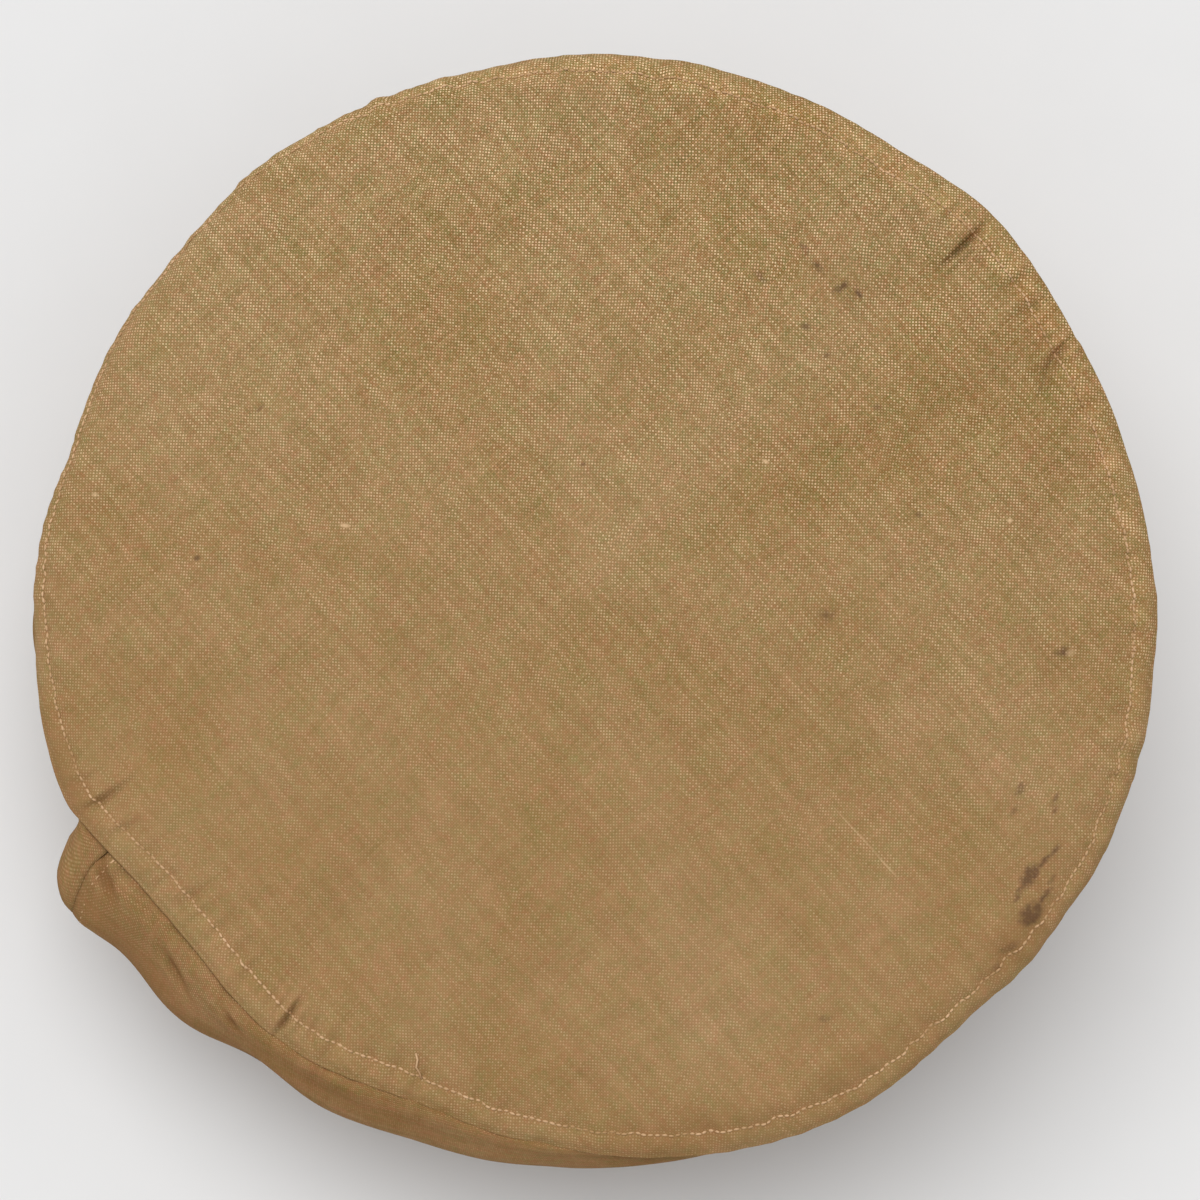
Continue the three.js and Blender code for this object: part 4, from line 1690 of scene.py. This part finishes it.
    def rings(self, side: Side) -> list[tuple[Array, Array]]:
        """Lays out the rings of a face from its middle outwards.

        Args:
            side: the outer face has all rings, and the inner face every fourth.

        Returns:
            Azimuths and distances inside the seam of each ring, without the middle.
        """
        step = 1 if side is Side.OUTER else 4
        distances = [0.0]
        k = 0
        while distances[-1] < self.strip:
            distances.append(distances[-1] + self.outer_rings[min(k, len(self.outer_rings) - 1)])
            k += 1
        shares = np.arange(1, self.inner_steps) / self.inner_steps
        rings = []
        for share in shares[::step]:
            count = self.sectors // 16
            while (
                count < self.sectors // 2 and share * self.inner_reach / count > self.widest_step
            ):
                count *= 2
            turns = self.turns(count)
            cloth = CROWN_EDGE.at("cloth", turns)
            rings.append((turns, cloth - (cloth - distances[-1]) * share))
        turns = self.turns(self.sectors)
        outer = (*distances[:0:-step], 0.0)
        return rings + [(turns, np.full(self.sectors, inside)) for inside in outer]

    def build(self) -> Piece:
        """Builds the crown top as one closed wall, from ring to ring over its rim.

        Returns:
            The crown top's cloth.
        """
        mesh = ClothMesh(marks=CROWN_MARKS)
        chain = []
        ends = {}
        ahead = np.array([0.0])
        middle = CROWN_EDGE.at("cloth", ahead)
        for side in Side:
            height = self.relief(ahead, middle) + side.value * SHAPE.cloth / 2
            centre = SHAPE.crown(ahead, middle) + np.array([0, 0, 1.0]) * height
            rows = [mesh.add(centre, np.zeros((1, 2)), middle)]
            for turns, inside in self.rings(side):
                flat = np.stack(SHAPE.flat_crown(turns, inside), -1)
                points = self.face(turns, inside, side)
                rows.append(mesh.add(points, flat, inside))
            ends[side] = points
            chain.append(rows)
        turns = self.turns(self.sectors)
        edge, within = np.zeros(self.sectors), np.full(self.sectors, 0.5)
        before = sum(self.face(turns, within, side) for side in Side) / 2
        rim = rounded_rim(ends[Side.OUTER], ends[Side.INNER], before, self.rim_steps)
        last, inner = (np.stack(SHAPE.flat_crown(turns, at), -1) for at in (edge, within))
        flats = over_rim(last, inner, SHAPE.cloth, self.rim_steps)
        rim_rows = [mesh.add(points, flat, edge) for points, flat in zip(rim, flats)]
        rows = chain[0] + rim_rows + chain[1][::-1]
        for one, two in zip(rows, rows[1:]):
            mesh.faces += ring_faces(one, two)
        return mesh.build("crown_top_cloth")

    def stitching(self) -> Piece:
        """Sews the row of topstitching, with its one loose end.

        Returns:
            The row of stitches.
        """
        turns = np.linspace(0, 360, 2401)
        inside = self.stitch_line(turns)
        line = self.face(turns, inside, Side.OUTER)
        normals = square_to(SHAPE.crown, turns, inside, 0.5, 0.3)
        flat = np.array(self.loose_end)
        bearing = np.degrees(np.arctan2(flat[:, 1], flat[:, 0])) - SHAPE.photo_turn
        within = CROWN_EDGE.at("cloth", bearing) - np.hypot(flat[:, 0], flat[:, 1])
        tail = self.face(bearing, within, Side.OUTER) + np.array([0, 0, 0.2])
        row = StitchRow("crown_topstitch", seed=21)
        return row.sew([(line + normals * 0.3, normals)], [tail])


def ring_faces(one: Array, two: Array) -> Faces:
    """Makes the faces between two closed rings of points.

    Args:
        one: numbers of the first ring's points.
        two: numbers of the second's, of which there may be twice or half as many, or one.

    Returns:
        The faces, each as the numbers of its points.
    """
    a, b = len(one), len(two)
    if a == 1:
        return [(int(one[0]), int(two[k]), int(two[(k + 1) % b])) for k in range(b)]
    if b == 1:
        return [(int(one[(k + 1) % a]), int(one[k]), int(two[0])) for k in range(a)]
    faces = []
    for k in range(min(a, b)):
        first = [one[(k * (a // min(a, b)) + j) % a] for j in range(a // min(a, b) + 1)]
        second = [two[(k * (b // min(a, b)) + j) % b] for j in range(b // min(a, b) + 1)]
        faces.append(tuple(int(v) for v in (first[0], *second, *first[:0:-1])))
    return faces


@dataclass
class WallGrid:
    """Turns grids of outer and inner points into one closed wall with rounded edges.

    Args:
        rim_steps: steps of the half circle round each edge.
    """

    rim_steps: int = 4

    def fill(
        self,
        mesh: ClothMesh,
        outer: Array,
        inner: Array,
        flat: Array,
        seam: Array,
        closed: bool,
    ) -> None:
        """Adds the wall to a mesh.

        Args:
            mesh: the mesh that gathers it.
            outer: sections by rows of points of the outer face.
            inner: the same of the inner face.
            flat: flat place of each point.
            seam: distance of each point from the nearest sewn edge.
            closed: whether the last section joins the first.
        """
        middle = (outer + inner) / 2
        ends = rounded_rim(outer[:, -1], inner[:, -1], middle[:, -2], self.rim_steps)
        starts = rounded_rim(inner[:, 0], outer[:, 0], middle[:, 1], self.rim_steps)
        loop = [outer, np.stack(ends, 1), inner[:, ::-1], np.stack(starts, 1)]
        wall = float(length_of(outer[0, 1] - inner[0, 1])[0])
        flats = [
            flat,
            np.stack(over_rim(flat[:, -1], flat[:, -2], wall, self.rim_steps), 1),
            flat[:, ::-1],
            np.stack(over_rim(flat[:, 0], flat[:, 1], wall, self.rim_steps), 1),
        ]
        seams = [
            seam,
            np.repeat(seam[:, -1:], len(ends), 1),
            seam[:, ::-1],
            np.repeat(seam[:, :1], len(starts), 1),
        ]
        at = mesh.add(
            np.concatenate(loop, 1), np.concatenate(flats, 1), np.concatenate(seams, 1)
        ).tolist()
        sections, around = len(at), len(at[0])
        last = sections if closed else sections - 1
        for i in range(last):
            one, two = at[i], at[(i + 1) % sections]
            for j in range(around):
                k = (j + 1) % around
                mesh.faces.append((one[j], two[j], two[k], one[k]))
        if closed:
            return
        rows = outer.shape[1]
        back = rows + len(ends)
        for section, turned in ((at[0], False), (at[-1], True)):
            front, behind = section[:rows], section[back : back + rows][::-1]
            caps = [
                (front[j], front[j + 1], behind[j + 1], behind[j]) for j in range(rows - 1)
            ]
            caps.append(tuple(section[rows - 1 : back + 1]))
            caps.append((*section[back + rows - 1 :], section[0]))
            mesh.faces += [tuple(reversed(cap)) if turned else cap for cap in caps]


@dataclass
class Quarter(SewnPiece):
    """One of the four side pieces between the crown top and the band.

    Args:
        half_slit: half the gap between quarters, in degrees.
        seam_reach: about how far its seams are from the head's axis.
        flat_reach: about how far its flat cloth's middle is.
        flat_fall: cloth between the crown's seam and the band.
        drift: how far slack cloth hangs over sideways at the back, in degrees.
        slack_roll: height of the roll that slack cloth makes under the crown.
        tuck: how far tight cloth is drawn in under the crown.
        gather_width: how far gathers reach from the crown's seam and from the band.
        swells: flat place and height of each soft swell.
    """

    node: str
    start: float
    end: float
    slot: str = "quarter_cloth"
    held: str = "stretched"
    flat_size: tuple[float, float] = (226.0, 74.0)
    flat_area: float = 0.0134
    sections: int = 190
    upper_rows: int = 26
    lower_rows: int = 30
    half_slit: float = 0.02
    seam_reach: float = 130.0
    flat_reach: float = 136.0
    flat_fall: float = 66.0
    seam_dip: float = 0.24
    seam_ridge: float = 0.15
    drift: float = 3.2
    slack_roll: float = 1.4
    tuck: float = 2.2
    sway: float = 0.8
    gather: float = 0.35
    gather_width: float = 9.0
    stitch_away: float = 2.6
    stitch_reach: float = 132.0
    creases: tuple[Crease, ...] = ()
    marks: tuple[Mark, ...] = ()
    swells: tuple[tuple[float, float, float], ...] = ()
    puckers: Puckers = field(default_factory=lambda: Puckers(31, 26, 46, 130))
    ripples: Ripples = field(default_factory=lambda: Ripples(8, 22, 16.0, 60.0))

    def drifted(self, azimuth: Array, share: Array) -> Array:
        """Finds where the cloth lies, which drifts sideways with the slack at the back.

        Args:
            azimuth: azimuth of each place by its seam.
            share: 0 under the crown's seam and 1 at the band.

        Returns:
            Azimuths where the cloth lies.
        """
        near = np.exp(-(((azimuth - 90) / 14) ** 2))
        drift = self.drift * blend(share / 0.45)
        return azimuth + near * drift * (1 - blend((share - 0.55) / 0.4))

    def seam_away(self, azimuth: Array) -> Array:
        """Distance from the nearer of the quarter's two seams."""
        return np.radians(np.minimum(azimuth - self.start, self.end - azimuth)) * self.seam_reach

    def flat_place(self, azimuth: Array, share: Array) -> tuple[Array, Array]:
        """Places on the quarter's flat cloth: along the seam, and down from it."""
        return np.broadcast_arrays(np.radians(azimuth) * self.flat_reach, share * self.flat_fall)

    def relief(self, azimuth: Array, share: Array) -> Array:
        """Fine folds of the quarter: its seams, slack, swells, waves, gathers and creases.

        Args:
            azimuth: azimuth of each place by its seam.
            share: 0 under the crown's seam and 1 at the band.

        Returns:
            Heights along the cloth's normal.
        """
        away = self.seam_away(azimuth)
        below = blend(share / 0.12)
        height = -self.seam_dip * np.exp(-((away / 1.1) ** 2)) * below
        height = height + self.seam_ridge * np.exp(-(((away - 3.2) / 1.6) ** 2))
        azimuth = self.drifted(azimuth, share)
        u, v = self.flat_place(azimuth, share)
        slack = blend((QUARTER_BULGE.at("out", azimuth) - 1) / 6)
        roll = blend((v - 0.6) / 2.4) * (1 - blend((v - 6) / 12))
        height = height + self.slack_roll * slack * roll
        height = height - self.tuck * (1 - slack) * blend(v / 12) * (1 - blend((v - 40) / 12))
        for swell_u, swell_v, swell in self.swells:
            near = ((u - swell_u) / 11) ** 2 + ((v - swell_v) / 16) ** 2
            height = height + swell * np.exp(-near)
        within = blend(share / 0.16) * blend((1 - share) / 0.12)
        height = height + self.sway * self.ripples.at(u, 0.7 * v) * within
        gathered = sum(
            np.exp(-((edge / self.gather_width) ** 2)) for edge in (v, self.flat_fall - v)
        )
        height = height + self.gather * self.puckers.at(azimuth) * gathered * blend(v / 1.5)
        for crease in self.creases:
            height = height + crease.relief(u, v)
        return height

    def face(self, azimuth: Array, share: Array, side: Side) -> Array:
        """Finds points on a face of the quarter.

        Args:
            azimuth: azimuth of each place by its seam.
            share: 0 under the crown's seam and 1 at the band.
            side: the outer or the inner face.

        Returns:
            Points of the cap's frame.
        """
        rise = self.relief(azimuth, share) + side.value * SHAPE.cloth / 2
        azimuth = self.drifted(azimuth, share)
        held = np.clip(share, 0.012, 0.988)
        square = -square_to(SHAPE.quarter, azimuth, held, 0.5, 0.01)
        upright = polar(azimuth, 1.0, 0.0)
        end = blend((share - 0.93) / 0.07)[..., None]
        square = square * (1 - end) + upright * end
        square = square / length_of(square)
        return SHAPE.quarter(azimuth, share) + square * rise[..., None]

    def build(self) -> Piece:
        """Builds the quarter as one closed wall.

        Returns:
            The quarter's cloth.
        """
        turns = np.linspace(self.start + self.half_slit, self.end - self.half_slit, self.sections)
        upper = 0.5 * np.arange(self.upper_rows) / self.upper_rows
        lower = 0.5 + 0.5 * np.arange(self.lower_rows + 1) / self.lower_rows
        azimuth, share = np.meshgrid(turns, np.concatenate([upper, lower]), indexing="ij")
        flat = np.stack(self.flat_place(azimuth, share), -1)
        seam = np.minimum(np.minimum(share, 1 - share) * self.flat_fall, self.seam_away(azimuth))
        mesh = ClothMesh(marks=self.marks)
        outer = self.face(azimuth, share, Side.OUTER)
        inner = self.face(azimuth, share, Side.INNER)
        WallGrid().fill(mesh, outer, inner, flat, seam, closed=False)
        return mesh.build(self.node + "_cloth")

    def stitching(self) -> Piece:
        """Sews the row of stitches beside the quarter's first seam.

        Returns:
            The row of stitches.
        """
        share = np.linspace(0.02, 0.985, 240)
        beside = math.degrees(self.stitch_away / self.stitch_reach)
        azimuth = np.full_like(share, self.start + beside)
        line = self.face(azimuth, share, Side.OUTER)
        normals = -square_to(SHAPE.quarter, azimuth, np.clip(share, 0.02, 0.98), 0.5, 0.01)
        row = StitchRow(
            self.node + "_seam_stitch",
            pitch=2.2,
            half_width=0.25,
            half_height=0.2,
            seed=int(self.start) + 3,
        )
        return row.sew([(line - normals * 0.02, normals)])


@dataclass
class HeadBand(SewnPiece):
    """The upright oval band, of cloth folded double, with two rows of stitching.

    Args:
        flat_reach: radius of a ring as long as the band.
        hem_rows: heights of its rows of stitches.
    """

    node: str = "band"
    slot: str = "band_cloth"
    held: str = "folded"
    flat_size: tuple[float, float] = (590.0, 52.0)
    flat_reach: float = 92.0
    sections: int = 480
    rows: int = 26
    sway: float = 0.45
    hem_rows: tuple[float, ...] = (4.0, 35.5)
    groove: float = 0.35
    groove_width: float = 0.8
    pucker: float = 0.14
    join_dip: float = 0.5
    puckers: Puckers = field(default_factory=lambda: Puckers(41, 26, 40, 120))
    ripples: Ripples = field(default_factory=lambda: Ripples(9, 20, 18.0, 70.0))

    def surface(self, azimuth: Array, height: Array) -> Array:
        """The band's middle surface."""
        reach = SHAPE.band_reach(azimuth, height) - SHAPE.band_wall / 2
        return polar(azimuth, reach, height)

    def relief(self, azimuth: Array, height: Array) -> Array:
        """Fine folds of the band: stitched grooves, puckers beside them and soft waves.

        Args:
            azimuth: azimuth of each place.
            height: its height over the band's lower rim.

        Returns:
            Heights along the cloth's normal.
        """
        a = np.radians(azimuth)
        x, y = np.cos(a) * self.flat_reach, np.sin(a) * self.flat_reach
        rise = self.sway * self.ripples.at(x + height, y - 0.4 * height)
        rise = rise * blend(height / 12) * blend((SHAPE.band_height - height) / 8)
        for row in self.hem_rows:
            rise = rise - self.groove * np.exp(-(((height - row) / self.groove_width) ** 2))
            near = np.exp(-(((height - row) / 3.5) ** 2))
            rise = rise + self.pucker * self.puckers.at(azimuth + row) * near
        join = np.radians((azimuth + 90) % 360 - 180) * SHAPE.band_half_length
        return rise - self.join_dip * np.exp(-((join / 0.9) ** 2))

    def face(self, azimuth: Array, height: Array, side: Side) -> Array:
        """Finds points on a face of the band.

        Args:
            azimuth: azimuth of each place.
            height: its height over the band's lower rim.
            side: the outer or the inner face.

        Returns:
            Points of the cap's frame.
        """
        square = square_to(self.surface, azimuth, height, 0.5, 0.3)
        rise = self.relief(azimuth, height) + side.value * SHAPE.band_wall / 2
        return self.surface(azimuth, height) + square * rise[..., None]

    def build(self) -> Piece:
        """Builds the band as one closed ring.

        Returns:
            The band's cloth.
        """
        turns = 360 * np.arange(self.sections) / self.sections
        inset = SHAPE.band_wall / 2 * 0.9
        levels = np.linspace(inset, SHAPE.band_height - inset, self.rows)
        azimuth, height = np.meshgrid(turns, levels, indexing="ij")
        flat = np.stack([np.radians(azimuth) * self.flat_reach, height], -1)
        seam = np.minimum(height, SHAPE.band_height - height)
        mesh = ClothMesh(wrap=2 * math.pi * self.flat_reach)
        outer = self.face(azimuth, height, Side.OUTER)
        inner = self.face(azimuth, height, Side.INNER)
        WallGrid(rim_steps=6).fill(mesh, outer, inner, flat, seam, closed=True)
        return mesh.build("head_band_cloth")

    def stitching(self) -> Piece:
        """Sews the band's rows of stitches.

        Returns:
            The rows as one object.
        """
        turns = np.linspace(0, 360, 1601)
        lines = []
        for row in self.hem_rows:
            level = np.full_like(turns, row)
            normals = square_to(self.surface, turns, level, 0.5, 0.3)
            line = self.face(turns, level, Side.OUTER) + normals * 0.08
            lines.append((line, normals))
        return StitchRow("head_band_stitching", pitch=2.2, half_length=0.85, seed=51).sew(lines)


@dataclass
class Peak(SewnPiece):
    """The short peak: a thin stiffening with cloth on both sides, stitched along its edge.

    Args:
        edge_rows: shares of its reach at which its rows of stitches run.
        row_reach: share of its arc over which they run.
    """

    node: str = "peak"
    slot: str = "peak_cloth"
    held: str = "folded"
    flat_size: tuple[float, float] = (178.0, 92.0)
    flat_area: float = 0.0102
    sections: int = 240
    rows: int = 30
    edge_rows: tuple[float, ...] = (0.89, 0.66, 0.43)
    row_reach: float = 0.93
    groove: float = 0.4
    groove_width: float = 0.9
    sway: float = 0.35
    ripples: Ripples = field(default_factory=lambda: Ripples(14, 20, 14.0, 50.0))

    def flat_place(self, turn: Array, share: Array) -> tuple[Array, Array]:
        """Places on the peak's flat cloth, seen from above."""
        point = SHAPE.peak(turn, share)
        return point[..., 0], point[..., 1]

    def relief(self, turn: Array, share: Array) -> Array:
        """Fine folds of the peak: stitched grooves and soft waves between them.

        Args:
            turn: degrees from the cap's front.
            share: 0 at the band's rim and 1 at the free edge.

        Returns:
            Heights along the cloth's normal.
        """
        u, v = self.flat_place(turn, share)
        rise = self.sway * self.ripples.at(u, v) * blend(share / 0.2)
        for row in self.edge_rows:
            away = (share - row) * SHAPE.peak_reach
            rise = rise - self.groove * np.exp(-((away / self.groove_width) ** 2))
        return rise

    def face(self, turn: Array, share: Array, side: Side) -> Array:
        """Finds points on a face of the peak.

        Args:
            turn: degrees from the cap's front.
            share: 0 at the band's rim and 1 at the free edge.
            side: the upper or the lower face.

        Returns:
            Points of the cap's frame.
        """
        bend = np.clip(turn, -SHAPE.peak_half_angle + 1, SHAPE.peak_half_angle - 1)
        square = -square_to(SHAPE.peak, bend, np.full_like(share, 0.5), 0.5, 0.01)
        square = square * np.sign(square[..., 2:])
        root = (1 - blend(share / 0.12))[..., None]
        square = square * (1 - root) + np.array([0.0, 0.0, 1.0]) * root
        square = square / length_of(square)
        rise = side.value * (self.relief(turn, share) + SHAPE.peak_wall / 2)
        return SHAPE.peak(turn, share) + square * rise[..., None]

    def build(self) -> Piece:
        """Builds the peak as one closed wall.

        Returns:
            The peak's cloth.
        """
        half = SHAPE.peak_half_angle
        turns = -half * np.cos(math.pi * np.arange(self.sections + 1) / self.sections)
        turn, share = np.meshgrid(turns, np.linspace(0, 1, self.rows + 1), indexing="ij")
        flat = np.stack(self.flat_place(turn, share), -1)
        mesh = ClothMesh()
        outer = self.face(turn, share, Side.OUTER)
        inner = self.face(turn, share, Side.INNER)
        WallGrid(rim_steps=6).fill(mesh, outer, inner, flat, (1 - share) * 30, closed=False)
        return mesh.build("peak_cover")

    def stitching(self) -> Piece:
        """Sews rows of stitches that follow the peak's edge.

        Returns:
            The rows as one object.
        """
        lines = []
        for row in self.edge_rows:
            half = SHAPE.peak_half_angle * self.row_reach * row**0.25
            turn = np.linspace(-half, half, 900)
            share = np.full_like(turn, row)
            line = self.face(turn, share, Side.OUTER) + np.array([0.0, 0.0, 0.1])
            before, after = (self.face(turn, share + d, Side.OUTER) for d in (-0.02, 0.02))
            ahead = before - after
            normals = np.cross(np.gradient(line, axis=0), ahead)
            normals = normals / length_of(normals)
            normals = normals * np.sign(normals[..., 2:])
            lines.append((line, normals))
        return StitchRow("peak_stitching", pitch=2.2, half_length=0.85, seed=61).sew(lines)


def main() -> None:
    """Builds the cap and its surroundings."""
    logging.basicConfig(level=logging.INFO, format="%(message)s")
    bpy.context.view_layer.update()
    studio = Studio()
    studio.set_camera()
    studio.lay_floor()
    studio.light()
    thread = SewingThread().make()
    spots = tuple(mark for mark in CROWN_MARKS if mark.kind not in BROAD_KINDS)
    crown_cloth = WovenCotton("faded_khaki_cotton_crown", wear_and_shade=(0.0, 0.7), spots=spots).make()
    side_cloth = WovenCotton(
        "worn_khaki_cotton_quarters",
        warp=Yarn("#98764c", "#d4ae84"),
        weft=Yarn("#806239", "#957548"),
        gap_shade="#6a4f2a",
        felt_and_shade="#94714a",
        wear_and_shade=(0.55, 0.55),
        thread_turn=8.0,
        ridge_highlight_and_wear=0.2,
    ).make()
    band_cloth = WovenCotton(
        "khaki_cotton_band",
        warp=Yarn("#9b774c", "#cba97e"),
        weft=Yarn("#826338", "#957547"),
        gap_shade="#6c512b",
        felt_and_shade="#99774d",
        thread_turn=0.0,
    ).make()
    peak_cloth = WovenCotton(
        "khaki_cotton_peak",
        warp=Yarn("#9e7a4f", "#d0ad82"),
        weft=Yarn("#85653a", "#987849"),
        gap_shade="#76572f",
        felt_and_shade="#9b794f",
        thread_turn=0.0,
    ).make()
    CrownTop().make(crown_cloth, thread)
    quarters = (
        Quarter("quarter_back_left", 0, 90),
        Quarter(
            "quarter_back_right",
            90,
            180,
            creases=BACK_CREASES,
            marks=BACK_MARKS,
            swells=((244.5, 33.0, 1.8), (277.0, 33.0, -1.5), (386.0, 33.0, 1.0)),
        ),
        Quarter("quarter_front_right", 180, 270),
        Quarter("quarter_front_left", 270, 360),
    )
    for quarter in quarters:
        quarter.make(side_cloth, thread)
    HeadBand().make(band_cloth, thread)
    Peak().make(peak_cloth, thread)


if __name__ == "__main__":
    main()
